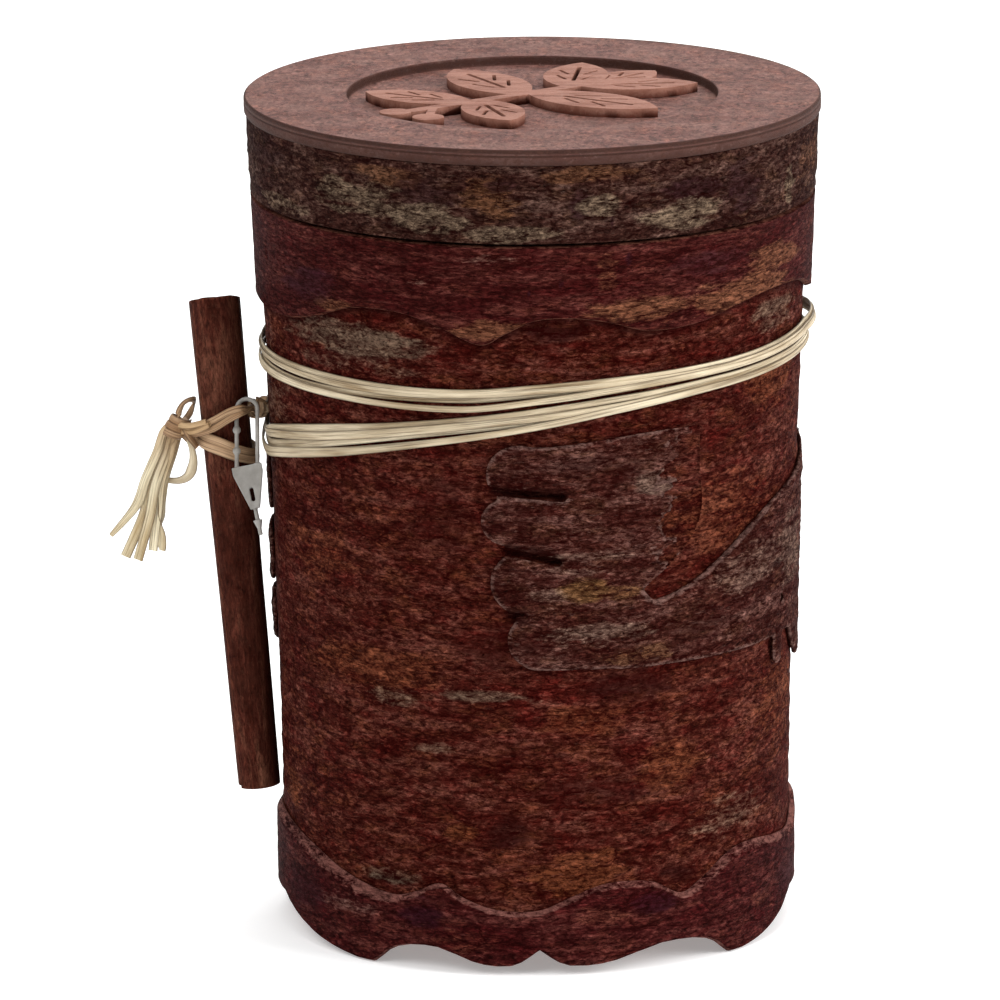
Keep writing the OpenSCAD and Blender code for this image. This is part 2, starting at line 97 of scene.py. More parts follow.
def layStage():
    world = bpy.data.worlds.new("studio")
    bpy.context.scene.world = world
    world.use_nodes = True
    sky = {"Color": studio["sky"], "Strength": studio["skyStrength"]}
    fill(world.node_tree, world.node_tree.nodes["Background"], sky)
    for name, place, size, watts in studio["lamps"]:
        lamp = bpy.data.objects.new(name, bpy.data.lights.new(name, "AREA"))
        lamp.data.shape = "DISK"
        lamp.data.size = size
        lamp.data.energy = watts
        lamp.location = place
        aim = Vector(studio["aim"]) - Vector(place)
        lamp.rotation_euler = aim.to_track_quat("-Z", "Y").to_euler()
        bpy.context.scene.collection.objects.link(lamp)
    half = studio["floorHalf"]
    mesh = bpy.data.meshes.new("floor")
    corners = [(-half, -half, 0), (half, -half, 0), (half, half, 0), (-half, half, 0)]
    mesh.from_pydata(corners, [], [(0, 1, 2, 3)])
    floor = bpy.data.objects.new("floor", mesh)
    material, tree, shader = newMaterial("paleFloor")
    fill(tree, shader, {"Base Color": studio["floor"], "Emission Color": studio["floor"],
                        "Emission Strength": studio["floorGlow"], "Roughness": studio["floorRough"]})
    mesh.materials.append(material)
    bpy.context.scene.collection.objects.link(floor)


setCamera()
layStage()
print("camera, floor and lamps set")


# numbers over a surface: everything below is in millimetres until buildMesh
noiseShape = {"cellKeys": (73856093, 19349663, 83492791), "seedKey": 40503, "keep": 0x7FFFFFFF,
              "mixes": ((13, 1274126177), (15, 461845907)), "fall": 0.55, "shift": 17.3}


def latticeNoise(p, seed):
    base = np.floor(p).astype(np.int64)
    f = p - base
    f = f * f * (3 - 2 * f)
    total = np.zeros(len(p))
    keep = noiseShape["keep"]
    for corner in range(8):
        step = np.array([corner & 1, corner >> 1 & 1, corner >> 2])
        x, y, z = ((base + step) * np.array(noiseShape["cellKeys"])).T
        h = (x ^ y ^ z ^ seed * noiseShape["seedKey"]) & keep
        for shift, key in noiseShape["mixes"]:
            h = (h ^ h >> shift) * key & keep
        total += np.prod(np.where(step, f, 1 - f), axis=1) * ((h >> 8 & 0xFFFF) / 65535)
    return total


# fractal noise, features of a size along the surface and squeezed upwards by stretch
def grain(p, size, stretch, octaves, seed):
    q = p.reshape(-1, 3) * np.array([1, 1, stretch]) / size
    value, weight, part = 0, 0, 1
    for k in range(octaves):
        value = value + part * latticeNoise(q * 2 ** k + noiseShape["shift"] * k, seed + k)
        weight += part
        part *= noiseShape["fall"]
    return (value / weight).reshape(p.shape[:-1])


def softStep(x, low, high):
    t = np.clip((x - low) / (high - low), 0, 1)
    return t * t * (3 - 2 * t)


# smooth curve through a table of points
def smoothTable(table, x):
    t = np.array(table, float)
    n = np.arange(len(t))
    after, before = np.minimum(n + 1, len(t) - 1), np.maximum(n - 1, 0)
    slope = (t[after, 1] - t[before, 1]) / (t[after, 0] - t[before, 0])
    k = np.clip(np.searchsorted(t[:, 0], x) - 1, 0, len(t) - 2)
    w = t[k + 1, 0] - t[k, 0]
    s = (x - t[k, 0]) / w
    q = 1 - s
    return (t[k, 1] * (1 + 2 * s) * q * q + t[k + 1, 1] * s * s * (3 - 2 * s)
            + w * s * q * (slope[k] * q - slope[k + 1] * s))


def turned(a):
    return (a + 180) % 360 - 180


def ringAt(r, a, z):
    t = np.radians(a)
    return np.stack([r * np.sin(t), -r * np.cos(t), z + 0 * t], -1)


wallShape = {"foot": 46.8, "flare": 3.8, "top": 137.0, "curve": 1.6, "midR": 48, "glue": 0.12}


def wallR(z):
    up = np.maximum(z, 0) / wallShape["top"]
    return wallShape["foot"] + wallShape["flare"] * up ** wallShape["curve"]


patchShape = {"fall": 0.8, "tear": 2.6, "start": -0.1, "full": 0.6}


# listed patches, each (azimuth, height, half width in degrees, half height, strength)
def patchMask(a, z, spots, rough):
    mask = np.zeros(a.shape)
    torn = (rough - 0.5) * patchShape["tear"]
    for ca, cz, wide, tall, strength in spots:
        near = 1 - (turned(a - ca) / wide) ** 2 - ((z - cz) / tall) ** 2
        here = softStep(near * patchShape["fall"] + torn, patchShape["start"], patchShape["full"])
        mask = np.maximum(mask, strength * here)
    return mask


# distance in millimetres from points on the wall to a line of (azimuth, height) points
def fromLine(a, z, line, radius):
    best = np.full(a.shape, 1e9)
    for (a0, z0), (a1, z1) in zip(line[:-1], line[1:]):
        ux, uz = math.radians(a1 - a0) * radius, z1 - z0
        px, pz = np.radians(a - a0) * radius, z - z0
        s = np.clip((px * ux + pz * uz) / (ux * ux + uz * uz), 0, 1)
        best = np.minimum(best, np.hypot(px - s * ux, pz - s * uz))
    return best


# smooth shading, its finish and a place in the scene for a mesh
def addPiece(name, mesh, material, sharp=None):
    mesh.polygons.foreach_set("use_smooth", [True] * len(mesh.polygons))
    if sharp:
        mesh.set_sharp_from_angle(angle=math.radians(sharp))
    mesh.materials.append(material)
    piece = bpy.data.objects.new(name, mesh)
    bpy.context.scene.collection.objects.link(piece)
    return piece


def addValues(mesh, key, numbers):
    numbers = np.asarray(numbers, np.float32)
    vector = numbers.size == 3 * len(mesh.vertices)
    layer = mesh.attributes.new(key, "FLOAT_VECTOR" if vector else "FLOAT", "POINT")
    layer.data.foreach_set("vector" if vector else "value", numbers.ravel())


def buildMesh(name, verts, faces, material, values, sharp=42):
    mesh = bpy.data.meshes.new(name)
    mesh.from_pydata((np.asarray(verts).reshape(-1, 3) * mm).tolist(), [], faces)
    mesh.update()
    for key, numbers in values.items():
        addValues(mesh, key, numbers)
    return addPiece(name, mesh, material, sharp)


def seat(piece, body, slotName, *nodes):
    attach(piece, body)
    if nodes:
        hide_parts(*nodes)
    return piece


# a solid's own mesh made even, for reliefs and mouldings
def evenCopy(nodeName, size, ease=0):
    copy = bpy.data.objects.new(nodeName + "Copy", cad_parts[nodeName].data.copy())
    bpy.context.scene.collection.objects.link(copy)
    remesh = copy.modifiers.new("even", "REMESH")
    remesh.mode = "VOXEL"
    remesh.voxel_size = size * mm
    if ease:
        copy.modifiers.new("ease", "SMOOTH").iterations = ease
    bpy.context.view_layer.update()
    made = bpy.data.meshes.new_from_object(copy.evaluated_get(bpy.context.evaluated_depsgraph_get()))
    bpy.data.objects.remove(copy)
    made.materials.clear()
    return made


# quads between rings of points that all have the same number of sides
def ringFaces(rings, sides, closed):
    i = np.arange(rings if closed else rings - 1)[:, None]
    j = np.arange(sides)[None, :]
    here, there, k = i * sides, (i + 1) % rings * sides, (j + 1) % sides
    faces = np.stack([here + j, there + j, there + k, here + k], -1).reshape(-1, 4).tolist()
    if not closed:
        faces.append(list(range(sides)))
        faces.append([(rings - 1) * sides + s for s in reversed(range(sides))])
    return faces


# shader groups that several finishes share
def tone(r, g, b):  # a colour as read off a screen, made linear
    shares = [c / 255 for c in (r, g, b)]
    return tuple(c / 12.92 if c < 0.0404 else ((c + 0.055) / 1.055) ** 2.4 for c in shares) + (1,)


def mixColour(tree, factor, a, b, blend="MIX"):
    return node(tree, "Mix", {0: factor, 6: a, 7: b}, data_type="RGBA", blend_type=blend).outputs[2]


def brighten(tree, colour, value):
    return node(tree, "HueSaturation", {"Value": value, "Color": colour}).outputs[0]


def maths(tree, kind, a, b=0.0):
    return node(tree, "Math", {0: a, 1: b}, operation=kind).outputs[0]


def vectorMaths(tree, kind, a, b):
    return node(tree, "VectorMath", {0: a, 1: b}, operation=kind).outputs[0]


def span(tree, value, low, high, start=0.0, end=1.0):
    values = {"Value": value, "From Min": low, "From Max": high, "To Min": start, "To Max": end}
    return node(tree, "MapRange", values).outputs["Result"]


def cloud(tree, place, scale, detail, rough=0.6, distort=0.0, output=0):
    values = {"Vector": place, "Scale": scale, "Detail": detail, "Roughness": rough, "Distortion": distort}
    return node(tree, "TexNoise", values).outputs[output]


def weighted(tree, first, *rest):  # sum of values, each with its share
    total = maths(tree, "MULTIPLY", *first)
    for value, share in rest:
        total = maths(tree, "ADD", total, maths(tree, "MULTIPLY", value, share))
    return total


def makeGroup(name, takes, gives):
    tree = bpy.data.node_groups.new(name, "ShaderNodeTree")
    for labels, way in ((takes, "INPUT"), (gives, "OUTPUT")):
        for label, kind in labels:
            tree.interface.new_socket(name=label, in_out=way, socket_type="NodeSocket" + kind)
    return tree, tree.nodes.new("NodeGroupInput").outputs, tree.nodes.new("NodeGroupOutput")


def useGroup(tree, group, values):
    return node(tree, "Group", values, node_tree=group).outputs


grainLabels = ("Streak", "Fine", "Cell", "Crack", "Fleck", "Hue")
grainLook = {
    # noises: times the scale, detail, roughness, distortion, and the range that is used
    "streak": (1.0, 7, 0.66, 0.3, 0.3, 0.7), "fine": (10.0, 5, 0.74, 0.5, 0.32, 0.68),
    "hue": (2.2, 6, 0.68, 0.4, 0.3, 0.7), "dash": (5.0, 6, 0.72, 0.6, 0.45, 0.385),
    "fleck": (6.0, 4, 0.7, 0.4, 0.6, 0.68), "ridge": (2.6, 5, 0.6, 0.8), "fold": (4.6, 6, 0.68, 1.3),
    "stir": (7.0, 4, 0.7), "stirBy": (0.004, 0.004, 0.004),
    # cells: times the scale, core and full width of the gaps
    "chips": (5.6, 0.045, 0.12), "plates": (2.2, 0.018, 0.055), "cellRange": (0.2, 0.8),
    # how strong each kind of crack is over the value named: start, end, weight at each
    "weights": {"chips": (0.75, 0.3, 0.05, 0.6), "plates": (0.8, 0.3, 0.3, 1), "split": (0.8, 0.35),
                "wrinkle": (0.85, 0.35)},
    "split": (0.0, 0.022, 1, 0), "wrinkle": (0.004, 0.026, 0.9, 0),
    "height": {"streak": 0.5, "fine": 0.4, "crack": -0.7, "cell": 0.2, "fleck": 0.25},
}


# streaks along the bark's grain, and a fine crackle of plates, chips and wrinkles between dark cracks
def makeBarkGrain():
    look = grainLook
    tree, take, give = makeGroup(
        "barkGrain",
        [("Position", "Vector"), ("Scale", "Float"), ("Stretch", "Vector"), ("Scales", "Vector")],
        [(label, "Float") for label in grainLabels + ("Height",)])

    def times(factor):
        return maths(tree, "MULTIPLY", take["Scale"], factor)

    def noise(place, key):
        factor, detail, rough, distort = look[key][:4]
        return cloud(tree, place, times(factor), detail, rough, distort)

    def ranged(place, key):
        return span(tree, noise(place, key), *look[key][4:])

    def crease(place, key, line):  # thin lines where a noise passes its middle
        off = maths(tree, "ABSOLUTE", maths(tree, "SUBTRACT", noise(place, key), 0.5))
        return span(tree, off, *look[line])

    long = vectorMaths(tree, "MULTIPLY", take["Position"], take["Stretch"])
    small = vectorMaths(tree, "MULTIPLY", take["Position"], take["Scales"])
    streak, fine, hue = ranged(long, "streak"), ranged(small, "fine"), ranged(small, "hue")
    factor, detail, rough = look["stir"]
    stir = cloud(tree, small, times(factor), detail, rough, output=1)
    stir = vectorMaths(tree, "SUBTRACT", stir, (0.5, 0.5, 0.5))
    broken = vectorMaths(tree, "ADD", small, vectorMaths(tree, "MULTIPLY", stir, look["stirBy"]))
    lines = {"split": crease(long, "ridge", "split"), "wrinkle": crease(small, "fold", "wrinkle")}
    for key in ("chips", "plates"):
        factor, core, wide = look[key]
        cells = {"Vector": broken, "Scale": times(factor)}
        gap = node(tree, "TexVoronoi", cells, feature="DISTANCE_TO_EDGE").outputs["Distance"]
        lines[key] = span(tree, gap, core, wide, 1, 0)
    cells = {"Vector": broken, "Scale": times(look["chips"][0])}
    cell = node(tree, "TexVoronoi", cells, feature="F1").outputs["Color"]
    cell = span(tree, node(tree, "RGBToBW", {0: cell}).outputs[0], *look["cellRange"])
    crack = ranged(long, "dash")
    for key, over in (("chips", hue), ("plates", streak), ("split", streak), ("wrinkle", fine)):
        weight = span(tree, over, *look["weights"][key])
        crack = maths(tree, "MAXIMUM", crack, maths(tree, "MULTIPLY", lines[key], weight))
    made = {"streak": streak, "fine": fine, "cell": cell, "crack": crack, "hue": hue}
    made["fleck"] = ranged(long, "fleck")
    made["height"] = weighted(tree, *((made[key], share) for key, share in look["height"].items()))
    fill(tree, give, {key.title(): value for key, value in made.items()})
    return tree


paintLook = {
    "patchy": (0.52, 0.4, 0.08), "torn": (0.45, 0.45, 0.1),  # shares of streak, fine and cell
    "darkTo": (0.12, 0.5), "lightFrom": (0.5, 0.92),
    "red": (0.5, 0.1, 0, 0.55), "warm": (0.55, 0.9, 0, 0.45),
    # patches, in the order they are laid: middle and sway of the grain, then start, end and most of each
    "Ochre": (0.5, 1.3, 0.2, 0.95, 0.62), "Smudge": (0.5, 1.3, 0.2, 0.95, 0.85),
    "Lichen": (0.55, 1.6, 0.25, 1.05, 0.8),
    "fine": (0.1, 1.95), "cell": (0.92, 1.08), "fleck": 0.6, "crack": 0.92, "deep": (0.55, 0.08, 0.05, 1),
}


# bark colour from its grain, with patches of ochre, dark smudge mixed with painted shade, and lichen laid
# over it
def makeBarkPaint():
    look = paintLook
    patches = ("Ochre", "Smudge", "Lichen")
    takes = [(label, "Float") for label in grainLabels + patches]
    takes += [(label, "Color") for label in ("Dark", "Mid", "Light", "Red", "Warm")]
    takes += [(label + " Color", "Color") for label in patches]
    tree, take, give = makeGroup("barkPaint", takes, [("Color", "Color")])
    shades = [take[label] for label in ("Streak", "Fine", "Cell")]
    patchy = weighted(tree, *zip(shades, look["patchy"]))
    colour = mixColour(tree, span(tree, patchy, *look["darkTo"]), take["Dark"], take["Mid"])
    colour = mixColour(tree, span(tree, patchy, *look["lightFrom"]), colour, take["Light"])
    colour = mixColour(tree, span(tree, take["Hue"], *look["red"]), colour, take["Red"])
    warm = weighted(tree, (take["Hue"], 0.9), (take["Cell"], 0.1))
    colour = mixColour(tree, span(tree, warm, *look["warm"]), colour, take["Warm"])
    torn = weighted(tree, *zip(shades, look["torn"]))
    for label in patches:
        middle, sway, start, end, most = look[label]
        amount = maths(tree, "MULTIPLY", maths(tree, "SUBTRACT", torn, middle), sway)
        amount = span(tree, maths(tree, "ADD", take[label], amount), start, end, 0, most)
        amount = maths(tree, "MULTIPLY", amount, span(tree, take[label], 0.0, 0.3))
        colour = mixColour(tree, amount, colour, take[label + " Color"])
    fine, cell = (span(tree, take[key.title()], 0.0, 1.0, *look[key]) for key in ("fine", "cell"))
    colour = brighten(tree, colour, maths(tree, "MULTIPLY", fine, cell))
    colour = mixColour(tree, maths(tree, "MULTIPLY", take["Fleck"], look["fleck"]), colour, take["Light"])
    deep = mixColour(tree, 1.0, take["Dark"], look["deep"], "MULTIPLY")
    colour = mixColour(tree, maths(tree, "MULTIPLY", take["Crack"], look["crack"]), colour, deep)
    fill(tree, give, {"Color": colour})
    return tree


# raw bark that shows where an edge was cut
def makeCutEdge():
    tree, take, give = makeGroup(
        "cutEdge", [("Base Color", "Color"), ("Edge", "Float"), ("Edge Color", "Color"), ("Fine", "Float"),
                    ("Crack", "Float"), ("Break", "Float")], [("Color", "Color")])
    ragged = maths(tree, "MULTIPLY", maths(tree, "SUBTRACT", take["Fine"], 0.5), take["Break"])
    amount = span(tree, maths(tree, "ADD", take["Edge"], ragged), 0.15, 0.85, 0, 0.94)
    amount = maths(tree, "MULTIPLY", amount, span(tree, take["Edge"], 0.0, 0.1))
    bare = brighten(tree, take["Edge Color"], span(tree, take["Fine"], 0, 1, 0.5, 1.4))
    bare = mixColour(tree, maths(tree, "MULTIPLY", take["Crack"], 0.6), bare, take["Base Color"])
    fill(tree, give, {"Color": mixColour(tree, amount, take["Base Color"], bare)})
    return tree


# pale dust and specks on faces that people handle
def makeDust():
    tree, take, give = makeGroup(
        "dust",
        [("Base Color", "Color"), ("Position", "Vector"), ("Dust Color", "Color"), ("Amount", "Float")],
        [("Color", "Color"), ("Dusty", "Float")])
    film = span(tree, cloud(tree, take["Position"], 110, 6, 0.7, 0.3), 0.42, 0.75)
    speck = span(tree, cloud(tree, take["Position"], 900, 3, 0.6), 0.58, 0.66)
    dusty = maths(tree, "MULTIPLY", maths(tree, "MAXIMUM", film, speck), take["Amount"])
    colour = mixColour(tree, dusty, take["Base Color"], take["Dust Color"])
    fill(tree, give, {"Color": colour, "Dusty": dusty})
    return tree


fibreLook = {"line": (5200, 55, 3.7), "tint": (420, 40, 5.3)}  # per metre across and along, per strand


# fibres along a flat raffia strand, from its own run: across, along and strand number
def makeRaffiaFibre():
    tree, take, give = makeGroup(
        "raffiaFibre", [("Run", "Vector"), ("Pale", "Color"), ("Straw", "Color"), ("Shade", "Color")],
        [("Color", "Color"), ("Height", "Float")])
    close, slow = (vectorMaths(tree, "MULTIPLY", take["Run"], fibreLook[key]) for key in ("line", "tint"))
    line = span(tree, cloud(tree, close, 1.0, 4, 0.6, 0.2), 0.32, 0.68)
    tint = span(tree, cloud(tree, slow, 1.0, 3, 0.6), 0.35, 0.65)
    colour = mixColour(tree, tint, take["Straw"], take["Pale"])
    colour = mixColour(tree, span(tree, line, 0.5, 0.0, 0.0, 0.75), colour, take["Shade"])
    fill(tree, give, {"Color": colour, "Height": line})
    return tree


barkGrain, barkPaint, cutEdge, dust, raffiaFibre = (
    makeBarkGrain(), makeBarkPaint(), makeCutEdge(), makeDust(), makeRaffiaFibre())


def attribute(tree, name, output="Fac"):
    return node(tree, "Attribute", attribute_name=name).outputs[output]


def objectPlace(tree):
    return node(tree, "TexCoord").outputs["Object"]


def roughen(tree, shader, height, strength, distance):
    bump = node(tree, "Bump", {"Strength": strength, "Distance": distance, "Height": height})
    fill(tree, shader, {"Normal": bump.outputs[0]})


def useGrain(tree, place, look):
    values = {key.title(): look[key] for key in ("scale", "stretch", "scales")}
    return useGroup(tree, barkGrain, {"Position": place} | values)


def paintBark(tree, grained, look):
    values = {label: grained[label] for label in grainLabels}
    values |= {key.title(): tone(*look[key]) for key in ("dark", "mid", "light", "red", "warm")}
    for key in ("ochre", "lichen", "smudge"):
        values[key.title()] = attribute(tree, key)
        values[key.title() + " Color"] = tone(*look[key])
    return useGroup(tree, barkPaint, values)["Color"]


def showEdge(tree, colour, grained, look, crack):
    values = {"Base Color": colour, "Edge": attribute(tree, "edge"), "Edge Color": tone(*look["edge"])}
    values |= {"Fine": grained["Fine"], "Crack": crack, "Break": look["break"]}
    return useGroup(tree, cutEdge, values)["Color"]


barkLook = {
    "wall": {
        "scale": 62, "stretch": (1, 1, 5.5), "scales": (1, 1, 2.2), "dark": (44, 6, 2), "mid": (66, 26, 19),
        "light": (102, 60, 50), "red": (80, 18, 15), "warm": (100, 52, 32), "ochre": (104, 56, 33),
        "lichen": (96, 80, 66), "smudge": (34, 10, 9), "edge": (106, 72, 60), "break": 0.8, "rough": 0.72,
        "gloss": 0.012, "bump": 0.55},
    "rim": {
        "scale": 56, "stretch": (1, 1, 7), "scales": (1, 1, 3.4), "dark": (40, 5, 4), "mid": (55, 17, 15),
        "light": (88, 48, 42), "red": (66, 14, 15), "warm": (78, 36, 26), "ochre": (112, 72, 50),
        "lichen": (98, 78, 68), "smudge": (38, 14, 22), "edge": (96, 58, 46), "break": 1.5, "rough": 0.66,
        "gloss": 0.02, "bump": 0.45},
    "foot": {
        "scale": 56, "stretch": (1, 1, 6.5), "scales": (1, 1, 2.6), "dark": (38, 3, 4), "mid": (56, 17, 16),
        "light": (86, 46, 41), "red": (68, 13, 15), "warm": (82, 38, 29), "ochre": (94, 52, 38),
        "lichen": (96, 76, 68), "smudge": (34, 8, 17), "edge": (112, 72, 65), "break": 1.3, "rough": 0.66,
        "gloss": 0.02, "bump": 0.45},
    "ring": {
        "scale": 60, "stretch": (1, 1, 4.5), "scales": (1, 1, 2.2), "dark": (33, 11, 8), "mid": (58, 35, 29),
        "light": (98, 75, 66), "red": (58, 29, 24), "warm": (82, 55, 39), "ochre": (98, 63, 40),
        "lichen": (108, 91, 74), "smudge": (38, 18, 22), "edge": (80, 54, 46), "break": 0.8, "rough": 0.74,
        "gloss": 0.015, "bump": 0.65},
    "relief": {
        "scale": 64, "stretch": (1, 1, 4.6), "scales": (1, 1, 2.4), "dark": (41, 9, 4), "mid": (64, 31, 25),
        "light": (108, 76, 68), "red": (62, 21, 18), "warm": (88, 56, 40), "ochre": (108, 77, 43),
        "lichen": (108, 88, 76), "smudge": (34, 12, 9), "edge": (108, 80, 73), "break": 1.1, "rough": 0.74,
        "gloss": 0.015, "bump": 0.65, "under": "wall"},
    "inside": {
        "scale": 55, "stretch": (1, 1, 7), "scales": (1, 1, 4), "dark": (92, 50, 33), "mid": (126, 77, 52),
        "light": (152, 102, 74), "red": (118, 66, 46), "warm": (136, 88, 58), "ochre": (122, 74, 42),
        "lichen": (106, 92, 78), "smudge": (60, 30, 22), "edge": (142, 104, 80), "break": 0.7, "rough": 0.74,
        "gloss": 0.1, "bump": 0.35},
}
barkBump = {"distance": 0.0006, "duller": 0.14, "glossier": 0.08}


def barkFinish(name, look):
    material, tree, shader = newMaterial(name)
    grained = useGrain(tree, objectPlace(tree), look)
    colour = paintBark(tree, grained, look)
    if "under" in look:  # the sheet below shows where this one was pared away
        below = paintBark(tree, grained, barkLook[look["under"]])
        colour = mixColour(tree, attribute(tree, "pared"), colour, below)
    dull, glossy = look["rough"] + barkBump["duller"], look["rough"] - barkBump["glossier"]
    fill(tree, shader, {
        "Base Color": showEdge(tree, colour, grained, look, grained["Crack"]),
        "Roughness": span(tree, grained["Fine"], 0, 1, dull, glossy), "Specular IOR Level": look["gloss"]})
    roughen(tree, shader, grained["Height"], look["bump"], barkBump["distance"])
    return material


woodLook = {
    "board": {
        "name": "boardWood", "scale": 85, "stretch": (1, 1.6, 5), "scales": (1.2, 0.7, 2), "midFrom": 0.1,
        "dark": (84, 52, 46), "mid": (108, 74, 68), "light": (126, 93, 84), "warm": (124, 78, 64),
        "fine": (0.12, 1.9), "crack": 0.5, "dust": (154, 123, 113), "dusty": 0.4, "edge": (54, 31, 24),
        "break": 0.6, "dustRough": (0.62, 0.85), "gloss": 0.1, "bump": (0.4, 0.0004)},
    "sprig": {
        "name": "sprigWood", "scale": 95, "stretch": (1, 4.5, 2), "scales": (1, 3, 1), "midFrom": 0.1,
        "dark": (118, 74, 60), "mid": (148, 102, 86), "light": (164, 118, 102), "fine": (0.86, 1.12),
        "dust": (172, 134, 120), "dusty": 0.25, "edge": (84, 44, 34), "break": 0.5, "rough": (0.72, 0.5),
        "gloss": 0.1, "bump": (0.3, 0.0003)},
    "quill": {  # rolled, so its grain follows its own run, and it is dark where it is turned from the light
        "name": "quillBark", "run": True, "scale": 160, "stretch": (1, 1, 0.18), "scales": (1.3, 1.3, 0.35),
        "midFrom": 0.05, "dark": (38, 8, 3), "mid": (72, 34, 25), "light": (116, 76, 58),
        "fine": (0.15, 1.85), "crack": 0.6, "shade": 0.8, "dust": (98, 62, 48), "dusty": 0.2,
        "edge": (88, 46, 32), "break": 0.7, "edgeCrack": True, "rough": (0.7, 0.5), "gloss": 0.02,
        "bump": (0.5, 0.0003)},
}


def woodFinish(look):
    material, tree, shader = newMaterial(look["name"])
    place = attribute(tree, "run", "Vector") if "run" in look else objectPlace(tree)
    grained = useGrain(tree, place, look)
    dark, mid, light = (tone(*look[key]) for key in ("dark", "mid", "light"))
    colour = mixColour(tree, span(tree, grained["Streak"], look["midFrom"], 0.5), dark, mid)
    colour = mixColour(tree, span(tree, grained["Streak"], 0.5, 1), colour, light)
    if "warm" in look:
        warm = span(tree, grained["Hue"], 0.45, 0.85, 0, 0.6)
        colour = mixColour(tree, warm, colour, tone(*look["warm"]))
    colour = brighten(tree, colour, span(tree, grained["Fine"], 0, 1, *look["fine"]))
    if "crack" in look:
        colour = mixColour(tree, maths(tree, "MULTIPLY", grained["Crack"], look["crack"]), colour, dark)
    if "shade" in look:
        shade = maths(tree, "MULTIPLY", attribute(tree, "shade"), look["shade"])
        colour = mixColour(tree, shade, colour, dark)
    dusted = useGroup(tree, dust, {
        "Base Color": colour, "Position": place, "Dust Color": tone(*look["dust"]), "Amount": look["dusty"]})
    if "dustRough" in look:
        rough = span(tree, dusted["Dusty"], 0, 1, *look["dustRough"])
    else:
        rough = span(tree, grained["Fine"], 0, 1, *look["rough"])
    crack = grained["Crack"] if "edgeCrack" in look else 0.0
    fill(tree, shader, {
        "Base Color": showEdge(tree, dusted["Color"], grained, look, crack), "Roughness": rough,
        "Specular IOR Level": look["gloss"]})
    roughen(tree, shader, grained["Height"], *look["bump"])
    return material


raffiaLook = {
    "raffia": {
        "name": "paleRaffia", "pale": (224, 208, 178), "straw": (158, 136, 104), "shade": (68, 52, 34)},
    "oldRaffia": {
        "name": "tanRaffia", "pale": (206, 172, 136), "straw": (150, 114, 80), "shade": (70, 44, 26)},
    "tail": {
        "name": "tailRaffia", "pale": (252, 240, 207), "straw": (184, 156, 110), "shade": (92, 66, 36),
        # browner where the strand was bound into the knot, in millimetres along it
        "bound": {"pale": (206, 172, 130), "straw": (156, 120, 82), "from": 9, "to": 19}},
}
raffiaSheen = {"rough": (0.62, 0.42), "gloss": 0.25, "bump": (0.7, 0.00025), "rim": (0.3, 1.0, 0.0, 0.75)}


def raffiaFinish(look):
    material, tree, shader = newMaterial(look["name"])
    run = attribute(tree, "run", "Vector")
    pale, straw, shade = (tone(*look[key]) for key in ("pale", "straw", "shade"))
    if "bound" in look:
        bound = look["bound"]
        along = node(tree, "SeparateXYZ", {0: run}).outputs["Y"]
        free = span(tree, along, bound["from"] * mm, bound["to"] * mm)
        pale = mixColour(tree, free, tone(*bound["pale"]), pale)
        straw = mixColour(tree, free, tone(*bound["straw"]), straw)
    fibre = useGroup(tree, raffiaFibre, {"Run": run, "Pale": pale, "Straw": straw, "Shade": shade})
    # painted shade at the strand's edges, from its edge values
    rim = span(tree, attribute(tree, "edge"), *raffiaSheen["rim"])
    fill(tree, shader, {
        "Base Color": mixColour(tree, rim, fibre["Color"], shade),
        "Roughness": span(tree, fibre["Height"], 0, 1, *raffiaSheen["rough"]),
        "Specular IOR Level": raffiaSheen["gloss"]})
    roughen(tree, shader, fibre["Height"], *raffiaSheen["bump"])
    return material


tagTint = {"low": (150, 145, 138), "high": (182, 178, 172), "rough": (0.28, 0.42), "bump": (0.12, 0.0002)}


def tagFinish():
    material, tree, shader = newMaterial("milkyPlastic")
    place = objectPlace(tree)
    haze = span(tree, cloud(tree, place, 420, 4, 0.6), 0.3, 0.7)
    fill(tree, shader, {
        "Base Color": mixColour(tree, haze, tone(*tagTint["low"]), tone(*tagTint["high"])),
        "Roughness": span(tree, haze, 0, 1, *tagTint["rough"]), "Transmission Weight": 0.35, "IOR": 1.46,
        "Subsurface Weight": 0.2, "Subsurface Radius": (0.002, 0.002, 0.002)})
    roughen(tree, shader, cloud(tree, place, 900, 3, 0.6), *tagTint["bump"])
    return material


finish = {key: barkFinish(key + "Bark", look) for key, look in barkLook.items()}
finish |= {key: woodFinish(look) for key, look in woodLook.items()}
finish |= {key: raffiaFinish(look) for key, look in raffiaLook.items()}
finish["tag"] = tagFinish()
print("finishes made:", ", ".join(finish))


# raffia: flat strands laid along routes that the solids follow
def lengths(path):
    return np.concatenate([[0], np.cumsum(np.linalg.norm(np.diff(path, axis=0), axis=1))])


def unit(v):
    return v / np.maximum(np.linalg.norm(v, axis=-1, keepdims=True), 1e-9)


def tangents(path):
    return unit(np.gradient(path, axis=0))


# smooth route through points, a number of steps between each two
def route(points, steps):
    p = np.array(points, float)
    line = []
    for i in range(steps * (len(p) - 1) + 1):
        k = min(i // steps, len(p) - 2)
        s = i / steps - k
        a, b, c, d = p[max(k - 1, 0)], p[k], p[k + 1], p[min(k + 2, len(p) - 1)]
        bend = (2 * a - 5 * b + 4 * c - d) * s * s + (3 * b - a - 3 * c + d) * s ** 3
        line.append(0.5 * (2 * b + (c - a) * s + bend))
    return np.array(line)


strandShape = {
    "points": 9, "flat": 0.88, "ridge": 0.05, "ridges": 26, "cup": 0.12, "apart": 0.013, "sharp": 60,
}


